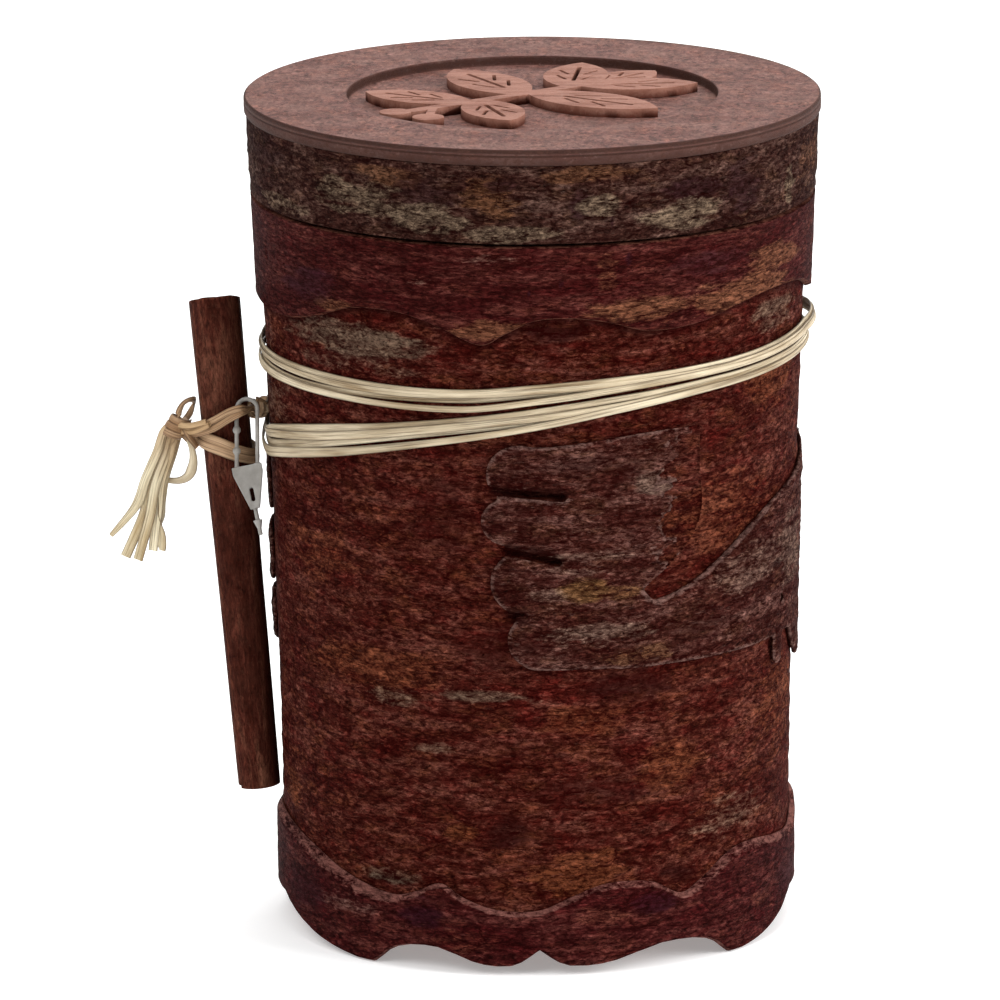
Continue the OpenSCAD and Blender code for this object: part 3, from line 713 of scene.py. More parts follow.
# flat strand: across is the direction of its width at each point, cup bends its section
def strand(name, path, width, thick, across, kind, number, cup=1.0):
    look = strandShape
    t = tangents(path)
    s = unit(across - t * np.sum(across * t, axis=1, keepdims=True))
    n = np.cross(s, t)
    u = np.linspace(-0.5, 0.5, look["points"])
    body = np.sqrt(np.maximum(0, 1 - (2 * u) ** 2 * look["flat"]))[None, :]
    run = lengths(path)
    width = np.broadcast_to(width, run.shape)
    ridges = look["ridge"] * np.sin(u[None, :] * look["ridges"] + number * 1.7 + np.sin(run / 17)[:, None])
    bend = look["cup"] * cup * (u ** 2 * 4 - 0.35)[None, :] * np.sin(run / 23 + number)[:, None]
    middle = path[:, None, :] + (u[None, :, None] * width[:, None, None]) * s[:, None, :]
    upper = middle + (thick / 2 * body + ridges * body + bend)[:, :, None] * n[:, None, :]
    lower = middle + (-thick / 2 * body + bend)[:, :, None] * n[:, None, :]
    loops = np.concatenate([upper, lower[:, ::-1]], axis=1)
    around = np.concatenate([u, u[::-1]])[None, :]
    runs = np.zeros(loops.shape)
    runs[..., 0] = around * width[:, None] * mm + number * look["apart"]
    runs[..., 1] = run[:, None] * mm
    runs[..., 2] = number
    # painted shade along both edges of the strand, where neighbouring strands meet
    rims = np.broadcast_to(np.abs(around * 2) ** 3, loops.shape[:2])
    faces = ringFaces(len(path), loops.shape[1], False)
    values = {"run": runs.reshape(-1, 3), "edge": rims.ravel()}
    return buildMesh(name, loops, faces, finish[kind], values, look["sharp"])


tieHeight = 95.5
windLook = {  # tables over the angle that the strands have gone round
    "levels": [
        (-92, -5.4), (-50, 1.7), (-23, 6.2), (0, 9.3), (20, 11.6), (42, 13.3), (90, 14.4), (180, 13),
        (270, 12.2), (314, 12.3), (345, 12.9), (360, 14.2), (382, 15.5), (402, 16.2), (450, 17),
        (500, 13.6), (560, 5.6), (600, 1.2), (628, 0)],
    "heights": [
        (-92, 1.35), (-50, 1.45), (-23, 1.15), (0, 0.92), (20, 0.65), (42, 0.5), (90, 0.46), (180, 0.6),
        (270, 0.95), (345, 1), (360, 0.84), (382, 0.6), (402, 0.52), (450, 0.46), (560, 0.62), (628, 0.58)],
    "lift": [(-92, 0), (440, 0), (462, 1), (540, 1), (575, 0), (628, 0)],
    "from": -101, "to": 631.1, "step": 1.5, "tied": (-92, 628), "drawnUp": 2.4, "clear": 0.65, "layer": 2.0,
    "bundle": 4.4, "lap": 1.16, "least": 1.25, "thick": 0.42, "lean": 14,
    "beds": (0.34, -0.3, 0.1, -0.12),  # how far each strand lies in or out
}


def windStrands():
    look = windLook
    a = np.arange(look["from"], look["to"], look["step"])
    inside = np.clip(a, *look["tied"])
    loose = softStep(a, -94, -74) * softStep(a, 630, 604)  # 0 where the ends gather into the tie
    level = tieHeight + smoothTable(look["levels"], inside) + look["drawnUp"] * softStep(a, -78, -98)
    tall = look["bundle"] * smoothTable(look["heights"], inside) * (0.5 + 0.5 * loose)
    lift = np.interp(a, *np.array(look["lift"], float).T) * look["layer"]
    radius = wallR(level + tall / 2) + wallShape["glue"] + look["clear"] + lift
    count = len(look["beds"])
    for k, bed in enumerate(look["beds"]):
        wander = 0.28 * np.sin(a / 31 + 2.1 * k) + 0.14 * np.sin(a / 11.7 + 4.4 * k)
        place = (k + 0.5) / count - 0.5
        width = np.maximum(tall / count * look["lap"], look["least"]) * (1 + 0.12 * np.sin(a / 19 + k))
        path = ringAt(radius + bed + 0.1 * np.sin(a / 23 + 1.3 * k), a, 0)
        path[:, 2] = level + place * np.maximum(tall - 0.6, 0) + wander * np.minimum(1, tall / 3)
        lean = np.radians(look["lean"] * np.sin(a / 27 + 1.9 * k))[:, None]
        out = unit(path * np.array([1, 1, 0]))
        across = np.array([0, 0, 1.0]) * np.cos(lean) + out * np.sin(lean)
        piece = strand(f"windStrand{k + 1}", path, width, look["thick"], across, "raffia", k + 1)
        seat(piece, "container", "raffia", "raffia_winding")


windStrands()

# the stick's own frame: it leans out from its foot beside the wall
stickLook = {
    "foot": (-51.497, 0, 24), "lean": math.radians(4.6), "tieUp": 71.731, "length": 94, "radius": 4.05,
    "taper": 0.21, "bark": 0.9, "lapGap": 0.25, "lapFrom": 0.86, "turns": 1.55, "start": 216, "around": 110,
    "along": 150, "cutLong": 12, "cutFall": 0.3,
}


def onStick(points, up=stickLook["tieUp"]):
    p = np.asarray(points, float) + np.array([0, 0, up])
    c, s = math.cos(stickLook["lean"]), math.sin(stickLook["lean"])
    x, y, z = p[..., 0], p[..., 1], p[..., 2]
    fx, fy, fz = stickLook["foot"]
    return np.stack([fx + x * c - z * s, fy + y, fz + x * s + z * c], -1)


# strands of the tie, in the stick's frame at the height of the tie
hug, linkStart = 5.463, 6.897
knotPlace = np.array([-7.613, 0, -3])


def rollAcross(path, angle):  # width direction that turns about the route
    t = tangents(path)
    side = unit(np.cross(t, np.array([0, 0, 1.0]) + 0 * t))
    up = np.cross(side, t)
    angle = np.broadcast_to(angle, len(path))[:, None]
    return up * np.cos(angle) + side * np.sin(angle)


def windRound(name, path, along, width, nodeName, number):  # a strand wound about a short line
    across = onStick(path + along) - onStick(path)
    piece = strand(name, onStick(path), width, 0.5, across, "oldRaffia", number)
    seat(piece, "tie", "raffia", nodeName)


linkLook = {
    "steps": 14, "thick": 0.36, "strands": [(-0.75, 0.1), (0.0, -0.12), (0.75, 0.05)],  # drift up, in
    "spread": ([0, 0.4, 0.75, 1], [0.0, 0.35, 1, 0.7]), "coil": ([0, 0.1, 0.2, 0.36], [0.5, 0.8, 0.7, 0]),
    "width": ([0, 0.16, 0.34, 0.55, 1], [1.7, 1.8, 1.0, 1.35, 1.2]),
    "roll": ([0, 0.45, 0.6, 1], [1, 0.7, 0.15, 0.2]),
    "lumpTurns": 2.6, "lumpSteps": 110, "lumpRadius": 1.5, "lumpWidth": 1.5,
}


def linkStrands():
    look = linkLook
    points = [
        (linkStart + 0.9, 0.7, 0.3), (linkStart - 0.5, -0.3, 0.7), (linkStart - 1.3, -2.2, 0.8),
        (hug * 0.82, -hug * 0.98, 0.9), (hug * 0.62, -hug * 1.38, 1.3), (hug * 0.2, -hug * 1.32, 0.4),
        (-hug * 0.36, -hug * 1.16, -1.3), (-hug * 0.95, -hug * 0.8, -2.6), knotPlace + (-0.4, -0.8, 0.1)]
    base = route(points, look["steps"])
    s = np.linspace(0, 1, len(base))
    spread, coil, width, still = (np.interp(s, *look[key]) for key in ("spread", "coil", "width", "roll"))
    for k, (drift, out) in enumerate(look["strands"]):
        twist = 2.1 * k + 16 * s
        rise = drift * spread + 0.12 * np.sin(9 * s + k) + coil * np.cos(twist)
        path = onStick(base + np.stack([0.3 * coil * np.sin(twist), coil * np.sin(twist) - out, rise], -1))
        across = rollAcross(path, 0.9 * np.sin(5 * s + 2 * k) * still)
        piece = strand(f"linkStrand{k + 1}", path, width, look["thick"], across, "oldRaffia", 11 + k)
        seat(piece, "tie", "raffia", "raffia_link")


def linkLump():
    look = linkLook
    first, last = np.array([linkStart + 0.6, 0.5, -0.9]), np.array([linkStart - 2.0, -2.0, 0.4])
    along = unit((last - first)[None])[0]
    side = unit(np.cross(along, [0, 0, 1.0])[None])[0]
    top = np.cross(side, along)
    turn = np.linspace(0.4, look["lumpTurns"] * 2 * math.pi, look["lumpSteps"])[:, None]
    s = np.linspace(0, 1, look["lumpSteps"])[:, None]
    bulge = look["lumpRadius"] * np.sin(np.pi * (0.18 + 0.64 * s)) + 0.15 * np.sin(turn * 1.3)
    path = first + (last - first) * s + bulge * (np.cos(turn) * side + np.sin(turn) * top)
    windRound("linkLump", path, along, look["lumpWidth"], "raffia_link", 15)


loopLook = {
    "levels": [(196, -4), (250, -5.4), (297, -7.6), (330, -8.6), (380, -8.6), (450, -6.6), (532, -4.2)],
    "step": 4, "wide": 1.65, "thick": 0.4, "strands": [(-0.8, 0.1), (0.75, -0.05)],  # drift up, out
}


def loopStrands():
    look = loopLook
    a = np.arange(look["levels"][0][0], look["levels"][-1][0] + 0.1, look["step"])
    z = smoothTable(look["levels"], a)
    for k, (drift, far) in enumerate(look["strands"]):
        x, y = (hug + far) * np.cos(np.radians(a)), (hug + far) * np.sin(np.radians(a))
        path = onStick(np.stack([x, y, z + drift + 0.15 * np.sin(a / 40 + k)], -1))
        width = look["wide"] + 0.15 * np.sin(a / 33 + k)
        across = rollAcross(path, 0.1 * np.sin(a / 25))
        piece = strand(f"loopStrand{k + 1}", path, width, look["thick"], across, "oldRaffia", 21 + k)
        seat(piece, "tie", "raffia", "stick_loop")


knotLook = {  # points are from the knot's place
    "axis": (-0.62, -0.1, -1.0), "middle": (-1.3, -0.6, 1.0), "turns": 2.4, "steps": 120, "tall": (-1.5, 1.7),
    "radius": 1.75, "wrapWidth": 1.4,
    "core": [(1.9, -2.4, -1.2), (0.6, -1.6, -0.9), (-0.5, -1.0, 0.2), (-1.5, -0.7, 1.0), (-2.4, -0.8, -0.6)],
    "coreAt": [(0.0, -0.9, 0.9), (0.3, 0.3, -0.9), (0.0, 1.1, 0.5), (0.4, -0.4, 0.1)],
    "cross": [(2.2, -3.6, -2.9), (1.3, -3.5, -1.4), (0.7, -3.0, 0.2), (0.2, -1.6, 1.5), (-0.2, 0.2, 1.8)],
    "eyelet": [(-0.6, -1.6, 1.4), (-0.7, -1.9, 3.4), (0.4, -1.8, 5.2), (1.9, -0.8, 5.6), (2.3, 1.4, 4.6),
               (1.2, 2.0, 2.4), (-0.4, 1.0, 0.8)],
}


def knotStrands():
    look = knotLook
    axis = unit(np.array([look["axis"]]))[0]
    side = unit(np.cross(axis, [0, 1.0, 0])[None])[0]
    front = np.cross(axis, side)
    turn = np.linspace(0, look["turns"] * 2 * math.pi, look["steps"])[:, None]
    rise = np.linspace(*look["tall"], look["steps"])[:, None] + 0.25 * np.sin(turn)
    r = look["radius"] + 0.2 * np.sin(turn * 0.9 + 1)
    path = knotPlace + look["middle"] + rise * axis + r * (np.cos(turn) * side + np.sin(turn) * front)
    windRound("knotWrap", path, axis, look["wrapWidth"], "raffia_knot", 31)
    core = np.array(look["core"])
    pieces = [  # name, points, steps, width, thickness, roll, number
        (f"knotCore{k + 1}", core + at, 8, 1.6, 0.55, 0.7 * k, 33 + k) for k, at in enumerate(look["coreAt"])]
    pieces.append(("knotCross", np.array(look["cross"]), 9, 1.7, 0.5, 1.2, 38))
    pieces.append(("knotEyelet", np.array(look["eyelet"]), 9, 1.2, 0.4, 0.5, 39))
    for name, points, steps, width, thick, roll, number in pieces:
        path = onStick(route(knotPlace + points, steps))
        piece = strand(name, path, width, thick, rollAcross(path, roll), "oldRaffia", number)
        seat(piece, "tie", "raffia", "raffia_knot")


tailLook = {
    "points": [(5.0, -6.4, 2.0), (2.2, -4.2, 0.6), (-1.5, -0.6, -0.2), (-3.7, -1.1, -4.8), (-5.9, -1.6, -9.8),
               (-7.3, -1.9, -15.4), (-9.5, -2, -22.6)],  # from the knot's place
    "wide": 1.9, "thick": 0.34, "cup": 1.6, "steps": 9, "open": [0.1, 0.2, 0.26, 0.28, 0.34, 0.5, 1],
    # one number for each strand
    "spread": [-5.8, -3.5, -1.2, 1.7, 3.3], "rise": [4, -0.3, -0.9, 0.5, 0.3],
    "layer": [0, 0.5, -0.5, 0, 0.5], "tip": [0.45, 1, 1, 0.9, 1],
}


def tailStrands():
    look = tailLook
    points = knotPlace + look["points"]
    spreadAt = np.array(look["open"])
    for k, spread in enumerate(look["spread"]):
        fan = np.outer(spreadAt, [spread, 0, look["rise"][k]]) + (0, look["layer"][k], 0)
        path = onStick(route(points + fan, look["steps"]))
        s = np.linspace(0, 1, len(path))
        width = look["wide"] * np.interp(s, [0, 0.2, 0.4, 0.8, 1], [0.6, 0.65, 0.9, 1.0, look["tip"][k]])
        across = rollAcross(path, 0.2 + 0.3 * np.sin(4 * s + 1.7 * k))
        piece = strand(f"tailStrand{k + 1}", path, width, look["thick"], across, "tail", 41 + k, look["cup"])
        seat(piece, "tie", "raffia", "raffia_tail")
        print("tail strand", k + 1, "is", round(float(lengths(path)[-1]), 1), "mm long")


slackLook = {
    "points": [(0.6, -1.8, -1.7), (1.2, -2.4, -3.6), (1.1, -2.2, -6.2), (0, -1.4, -8.6), (-1.9, -0.5, -9.6),
               (-4.4, 0, -9.4)],  # from the knot's place
    "width": ([0, 0.25, 0.5, 0.8, 1], [0.9, 1.3, 2.0, 1.3, 1.0]), "thick": 0.3, "steps": 12,
}


def slackStrand():
    look = slackLook
    path = onStick(route(knotPlace + look["points"], look["steps"]))
    width = np.interp(np.linspace(0, 1, len(path)), *look["width"])
    across = np.cross(tangents(path), np.array([0.25, 1.0, 0]))
    piece = strand("slackStrand", path, width, look["thick"], across, "raffia", 51)
    seat(piece, "tie", "raffia", "raffia_small_loop")


linkStrands()
linkLump()
loopStrands()
knotStrands()
tailStrands()
slackStrand()
print("raffia laid")


# rolled stick
def rollStick():
    look = stickLook
    n = look["turns"] * np.linspace(0, 1, look["around"])
    lapped = np.floor(n) + np.maximum(0, n - np.floor(n) - look["lapFrom"]) / (1 - look["lapFrom"])
    outer = look["radius"] - (look["bark"] + look["lapGap"]) * lapped
    a = np.radians(360 * n + look["start"])
    z = np.linspace(0, look["length"], look["along"])
    seed = np.stack([np.cos(a) * look["radius"], np.sin(a) * look["radius"], 0 * a], -1)
    grow = 1 + look["taper"] * z[:, None] / look["length"]
    fromEnd = np.minimum(z, look["length"] - z)[:, None] + 0 * n
    crease = softStep(n, 0.93, 0.985) * (n < 1)  # shade under the lip, and on the side that faces the wall
    shade = np.maximum(crease, 0.75 * softStep(np.cos(a), 0.0, 0.95))[None] + 0 * fromEnd
    sides = {"place": [], "run": [], "edge": [], "shade": []}
    for r, inside in ((outer, False), (outer - look["bark"], True)):
        p = np.stack(np.broadcast_arrays(r * np.cos(a) * grow, r * np.sin(a) * grow, z[:, None]), -1)
        sample = seed[None] + np.stack(np.broadcast_arrays(0.0, n[None] * 7, z[:, None]), -1)
        d = 0.22 * (grain(sample, 1.8, 0.06, 3, 71) - 0.5) + 0.3 * (grain(sample, 9, 0.25, 2, 75) - 0.5)
        d = (-0.3 if inside else 1.0) * (d - 0.08)
        # top cut falls to the back
        end = 0.5 * (grain(sample, 2.5, 0, 2, 79) - 0.6) - look["cutFall"] * (p[..., 1] + look["radius"])
        p[..., 2] += end * softStep(z, look["length"] - look["cutLong"], look["length"])[:, None]
        p[..., 2] = np.clip(p[..., 2], 0, look["length"])
        p[..., 0] += d * np.cos(a)[None]
        p[..., 1] += d * np.sin(a)[None]
        lip = 0 * n if inside else softStep(n, 0.02, 0.0)
        edge = np.maximum(softStep(fromEnd, 0.6, 0.0), lip[None])
        for key, values in (("place", p), ("run", sample * mm), ("edge", edge), ("shade", shade)):
            sides[key].append(values[:, ::-1] if inside else values)
    made = {key: np.concatenate(values, axis=1) for key, values in sides.items()}
    rings, count = made["edge"].shape
    faces = ringFaces(rings, count, False)[:-2]
    for ring in (0, rings - 1):  # ends closed between the two faces of the bark
        for k in range(count // 2 - 1):
            quad = [ring * count + i for i in (k, k + 1, count - 2 - k, count - 1 - k)]
            faces.append(quad if ring else quad[::-1])
    faces = [f[::-1] for f in faces]
    place = onStick(made.pop("place"), 0)
    piece = buildMesh("quill", place, faces, finish["quill"], made)
    seat(piece, "stick", "stick", "cinnamon_stick")


rollStick()
print("stick rolled")


# bark sheets bent round the axis
# size, stretch, octaves and what is added to the sheet's seed
sheetNoise = {"streak": (11, 6, 4, 0), "lump": (26, 1.6, 3, 20), "chip": (4.5, 3.5, 3, 40)}
sheetShape = {
    "seamGap": 0.3, "cutRows": (0, 0.3, 0.65, 1.0), "cutEdge": 0.2, "cutCurve": 1.3, "sink": 0.18,
    "relief": {"streak": 1.1, "lump": 0.9, "chip": 0.6}, "crust": 0.16, "dip": 0.1, "pore": 0.3,
}
# the smudge patches hold dirt and also painted shade under the rim band, in the slots and beside the relief
patchKeys = ("ochre", "lichen", "smudge")


def sheetGrain(p, key, seed):
    size, stretch, octaves, more = sheetNoise[key]
    return grain(p, size, stretch, octaves, seed + more)


def barkSheet(name, look, body, slotName, nodeName):
    shape = sheetShape
    closed = look.get("seam") is None
    if closed:
        a = np.arange(0, 360, 360 / look["steps"])
    else:
        half = math.degrees(shape["seamGap"] / wallShape["midR"])
        a = np.linspace(look["seam"] + half, look["seam"] + 360 - half, look["steps"])
    low, high, cutLow, cutHigh = (look[key](turned(a)) for key in ("low", "high", "cutLow", "cutHigh"))
    part = np.array(shape["cutRows"])
    inner = np.linspace(0, 1, look["rows"])[1:-1]
    z = np.concatenate([
        low[:, None] + cutLow[:, None] * part,
        (low + cutLow)[:, None] + (high - cutHigh - low - cutLow)[:, None] * inner,
        high[:, None] - cutHigh[:, None] * part[::-1]], axis=1)
    thick = look["outer"] - look["inner"]
    slopeLow = np.clip(1 - (z - low[:, None]) / cutLow[:, None], 0, 1)
    slopeHigh = np.clip(1 - (high[:, None] - z) / cutHigh[:, None], 0, 1)
    slope = np.maximum(slopeLow, slopeHigh)
    a2 = np.broadcast_to(a[:, None], z.shape)
    radius = look["radius"](z) + look["outer"] - (thick - shape["cutEdge"]) * slope ** shape["cutCurve"]
    p = ringAt(radius, a2, z)
    noise = {key: sheetGrain(p, key, look["seed"]) for key in sheetNoise}
    torn = 0.5 * noise["streak"] + 0.5 * noise["chip"]
    masks = {key: patchMask(turned(a2), z, look[key], torn) for key in patchKeys}
    if "tuck" in look:  # painted shadow on the wall under the band that laps this sheet
        below = look["tuck"](turned(a))[:, None] - z
        bandShadow = 0.75 * softStep(below, 1.9, 0.5) * softStep(below, -1.5, -0.5)
        masks["smudge"] = np.maximum(masks["smudge"], bandShadow)
    d = sum(share * (noise[key] - 0.5) for key, share in shape["relief"].items()) - shape["sink"]
    d = look["depth"] * d + shape["crust"] * masks["lichen"] * (noise["chip"] > 0.45)
    d -= shape["dip"] * masks["smudge"]
    rng = np.random.default_rng(look["seed"])
    for _ in range(look["slits"]):  # short upright pores
        ca, cz = rng.uniform(-180, 180), rng.uniform(low.max() + 3, high.min() - 3)
        wide, tall, deep = rng.uniform(0.5, 0.8), rng.uniform(0.7, 1.9), rng.uniform(0.4, 1)
        pit = deep * np.exp(-((turned(a2 - ca) * 0.85 / wide) ** 2) - ((z - cz) / tall) ** 2)
        d -= shape["pore"] * pit
        masks["smudge"] = np.maximum(masks["smudge"], softStep(pit, 0.25, 0.8))
    d = np.clip(d, -look["depth"] * 1.2, look["proud"]) * (1 - 0.6 * slope)
    for line, wide, deep in look.get("grooves", []):  # cut into the sheet between the relief's lobes, with painted shade inside
        groove = softStep(fromLine(turned(a2), z, line, wallShape["midR"]), wide, wide * 0.35)
        d = d - deep * groove
        masks["smudge"] = np.maximum(masks["smudge"], groove)
    p += d[..., None] * ringAt(1, a2, 0)
    back = np.stack([ringAt(look["radius"](e) + look["inner"], a, e) for e in (high, low)], axis=1)
    loops = np.concatenate([p, back], axis=1)
    edge = np.maximum(softStep(slopeLow, 0.05, 0.35), softStep(slopeHigh, 0.05, 0.35))
    edge = edge * (0.35 + 0.65 * softStep(noise["chip"], 0.34, 0.6))
    pad = np.zeros((len(a), 2))
    values = {key: np.concatenate([mask, pad], axis=1).ravel() for key, mask in masks.items()}
    values["edge"] = np.concatenate([edge, pad + 1], axis=1).ravel()
    faces = ringFaces(len(a), loops.shape[1], closed)
    piece = buildMesh(name, loops, faces, finish[look["finish"]], values)
    return seat(piece, body, slotName, nodeName)


def level(value):
    return lambda a: value + 0 * a


rimWave = [
    (-180, 4.5), (-158, 1), (-135, 4.6), (-112, 3), (-90, 0.6), (-64, 0), (-52, 2), (-41, 5), (-29, 5.4),
    (-20, 3.4), (-11, 0.4), (-6, 2.6), (0, 5), (7, 5.4), (15, 4.4), (24, 2.2), (36, 2.5), (47, 4.6),
    (59, 5.6), (73, 4.6), (90, 0.6), (112, 4), (138, 1.4), (160, 5), (180, 4.5)]
footWave = [
    (-180, 5), (-150, 8.6), (-128, 4), (-108, 7), (-90, 9.4), (-76, 9), (-60, 6.6), (-47, 3.4), (-34, 1.4),
    (-28, 2.6), (-22, 4.6), (-17, 2.4), (-11, 0.6), (-5, 0), (1, 0.4), (8, 2.8), (14, 4.6), (20, 5),
    (27, 4.2), (34, 1.4), (40, 3.4), (48, 7), (56, 7.8), (70, 6.4), (81, 6), (95, 10.4), (120, 8),
    (145, 3), (165, 7.6), (180, 5)]
footShape = [
    (0, 1), (2.4, 0.7), (4.2, 0.5), (6.5, 0.36), (10, 0.33), (13, 0.37), (16, 0.47), (20, 0.7), (25, 0.93),
    (29, 0.96), (33, 0.91), (36.5, 0.77), (39, 0.57), (41.5, 0.24), (43.5, 0), (45, 0)]
sideShape = [
    (0, 1), (13, 1), (17, 0.8), (20, 0.64), (23, 0.5), (26.5, 0.37), (30.5, 0.24), (34, 0.14), (38, 0.06),
    (42, 0), (45, 0)]
footCut = [
    (-180, 1.2), (-120, 1.6), (-90, 1.9), (-62, 2.2), (-45, 2.4), (-33, 1.6), (-24, 0.9),
    (-10, 0.8), (8, 0.9), (20, 1.1), (32, 0.9), (42, 1.7), (56, 1.6), (75, 1.3), (95, 1.4), (130, 1.0),
    (180, 1.2)]


footRises = {"front": 4.8, "side": 6.4, "shift": 0.5, "sway": 4.1}


def footRise(a):
    turn = a - footRises["shift"] - footRises["sway"] * np.sin(np.radians(2 * a)) ** 2
    quarter = np.abs((turn + 45) % 90 - 45)
    front = footRises["front"] * np.interp(quarter, *np.array(footShape, float).T)
    side = footRises["side"] * np.interp(quarter, *np.array(sideShape, float).T)
    return np.where(np.abs(np.abs(turned(turn)) - 90) < 45, side, front)


wallLook = {
    "finish": "wall", "seam": 180, "steps": 470, "rows": 166, "radius": wallR, "outer": 0, "inner": -3.5,
    "seed": 3, "low": level(6.5), "high": level(137.0), "cutLow": level(0.6), "cutHigh": level(0.6),
    # tuck: the rim band's lower edge, under which the wall gets painted shadow
    "depth": 0.42, "proud": 0.09, "slits": 110, "tuck": lambda a: 118 + smoothTable(rimWave, a),
    "grooves": [([(-8.7, 91.1), (-1.7, 90.8), (5.7, 90.2)], 1.3, 1.2),
                ([(-6, 79.9), (-0.6, 79.2), (4.9, 77.9)], 1.4, 1.2),
                ([(-5.5, 68), (-2.6, 67.2)], 1.3, 1.0)],
    "ochre": [(44, 84, 18, 8, 0.42), (9, 19.3, 14, 5, 1.0), (-17, 26.8, 5, 1.8, 1.0),
              (-41, 56, 22, 5, 0.6), (10, 48, 12, 4, 0.6), (32, 38, 10, 6, 0.65), (-72, 27, 6, 4.5, 0.8),
              (62, 106, 14, 6, 0.7), (-55, 75, 12, 6, 0.5), (70, 45, 12, 12, 0.55),
              (-110, 60, 26, 9, 0.7), (150, 70, 30, 12, 0.7), (-165, 30, 25, 6, 0.7),
              (115, 30, 20, 5, 0.7)],
    "lichen": [(-41, 117.2, 27, 3.6, 1.0), (62, 118.4, 13, 3, 0.7), (-12, 52.1, 14, 1.4, 0.8),
               (-34, 51, 8, 2, 0.7), (-23, 42, 6, 1.6, 0.6), (-35, 16.8, 10, 1.7, 0.7),
               (49, 26, 15, 4.5, 0.5), (-41, 112.4, 20, 2.6, 0.5), (-78, 100, 14, 12, 0.5),
               (130, 112, 24, 5, 0.8), (-140, 95, 20, 7, 0.7), (175, 45, 22, 4, 0.6)],
    # dark patches: dirt, and painted shade just under the rim band and beside and below the cloud relief
    "smudge": [(5, 120.8, 7, 2.3, 1.0), (-7, 27, 6, 3.5, 0.8), (21, 54.1, 12, 4, 0.75),
               (33, 17.3, 5, 2, 0.9), (-35, 16, 8, 1.2, 0.8), (-20, 85, 9, 8, 0.4), (-8, 62, 9, 5, 0.5),
               (12, 34, 16, 3.5, 0.45), (120, 80, 18, 6, 0.6), (-150, 70, 16, 5, 0.6)],
}
rimLook = {
    "finish": "rim", "seam": 150, "steps": 640, "rows": 26, "radius": wallR, "outer": 1.32, "inner": 0.12,
    "seed": 7, "low": lambda a: 118 + smoothTable(rimWave, a), "high": level(137.0), "cutLow": level(0.4),
    "cutHigh": level(0.3), "depth": 0.26, "proud": 0.1, "slits": 16,
    "ochre": [(-45, 123, 7, 1.8, 0.9), (-8, 121.6, 11, 1.8, 0.9), (23, 124.3, 13, 3.6, 1.0),
              (47, 124.8, 18, 4.2, 1.0), (58, 130, 12, 3.2, 0.9), (15, 131, 3, 4.2, 0.5),
              (110, 125, 22, 4, 0.9), (-140, 126, 24, 4, 0.8)],
    "lichen": [(-23, 129.9, 5, 0.9, 0.6), (-6, 134.5, 9, 1, 0.5), (160, 131, 16, 2, 0.6)],
    "smudge": [(-54, 126, 12, 4, 0.7), (40, 131, 12, 3, 0.5), (-110, 130, 20, 4, 0.6)],
}
footLook = {
    "finish": "foot", "seam": 205, "steps": 640, "rows": 22, "radius": wallR, "outer": 1.32,
    "inner": 0.12, "seed": 13, "low": footRise, "high": lambda a: 12 + smoothTable(footWave, a),
    "cutLow": level(0.4), "cutHigh": lambda a: smoothTable(footCut, a), "depth": 0.26, "proud": 0.1,
    "slits": 0,
    "ochre": [(-14, 6.2, 9, 2.6, 0.5), (13, 11, 8, 2.4, 0.45), (62, 8, 10, 3, 0.4),
              (-120, 10, 20, 3, 0.5), (150, 8, 20, 3, 0.5)],
    "lichen": [(-46, 11, 10, 3, 0.35)],
    "smudge": [(-27, 10.8, 6, 3, 0.9), (26, 12.8, 6, 2.2, 0.8), (-64, 10, 9, 5, 0.6), (75, 9, 10, 5, 0.5),
               (170, 10, 18, 4, 0.6)],
}
ringLook = {
    "finish": "ring", "steps": 620, "rows": 30, "seed": 19, "outer": 0, "inner": -2.9,
    "radius": lambda z: np.interp(z, [137.2, 144.6, 152], [51.9, 52.4, 52.67]), "low": level(137.2),
    "high": level(152.0), "cutLow": level(0.35), "cutHigh": level(0.12), "depth": 0.3, "proud": 0.1,
    "slits": 10,
    "ochre": [(-9, 146.3, 6, 5, 1.0), (11, 150.4, 11, 2, 0.8), (-30, 148.9, 10, 2, 0.7),
              (75, 146, 12, 4, 0.5), (130, 145, 22, 4, 0.8), (-150, 147, 22, 4, 0.8)],
    "lichen": [(-39, 144.2, 13, 4, 1.0), (-23, 141.3, 11, 3, 1.0), (-4, 139.4, 11, 1.8, 0.9),
               (13, 144.2, 5.5, 2.3, 1.0), (31, 141.3, 11, 3.6, 0.9), (63, 142.8, 2.5, 4.6, 0.9),
               (-63, 139.8, 12, 2, 0.7), (100, 141, 16, 4, 0.9), (-100, 143, 16, 4, 0.9),
               (175, 142, 24, 4, 0.9)],
    "smudge": [(-7, 148.2, 4, 1.6, 1.0), (-22, 146.3, 7, 4, 0.6), (33, 145.8, 9, 2.4, 0.8),
               (46, 144.9, 6, 6.5, 0.7), (9, 144.7, 2.5, 3.7, 0.7), (-70, 148, 10, 4, 0.5),
               (150, 148, 18, 3, 0.7)],
}
barkSheet("barkWall", wallLook, "container", "bark", "body_wall")
barkSheet("rimBand", rimLook, "container", "bark_band", "rim_band")
barkSheet("footBand", footLook, "container", "bark_band", "foot_band")
barkSheet("lidRing", ringLook, "lid", "bark", "lid_rim")
print("bark sheets bent")


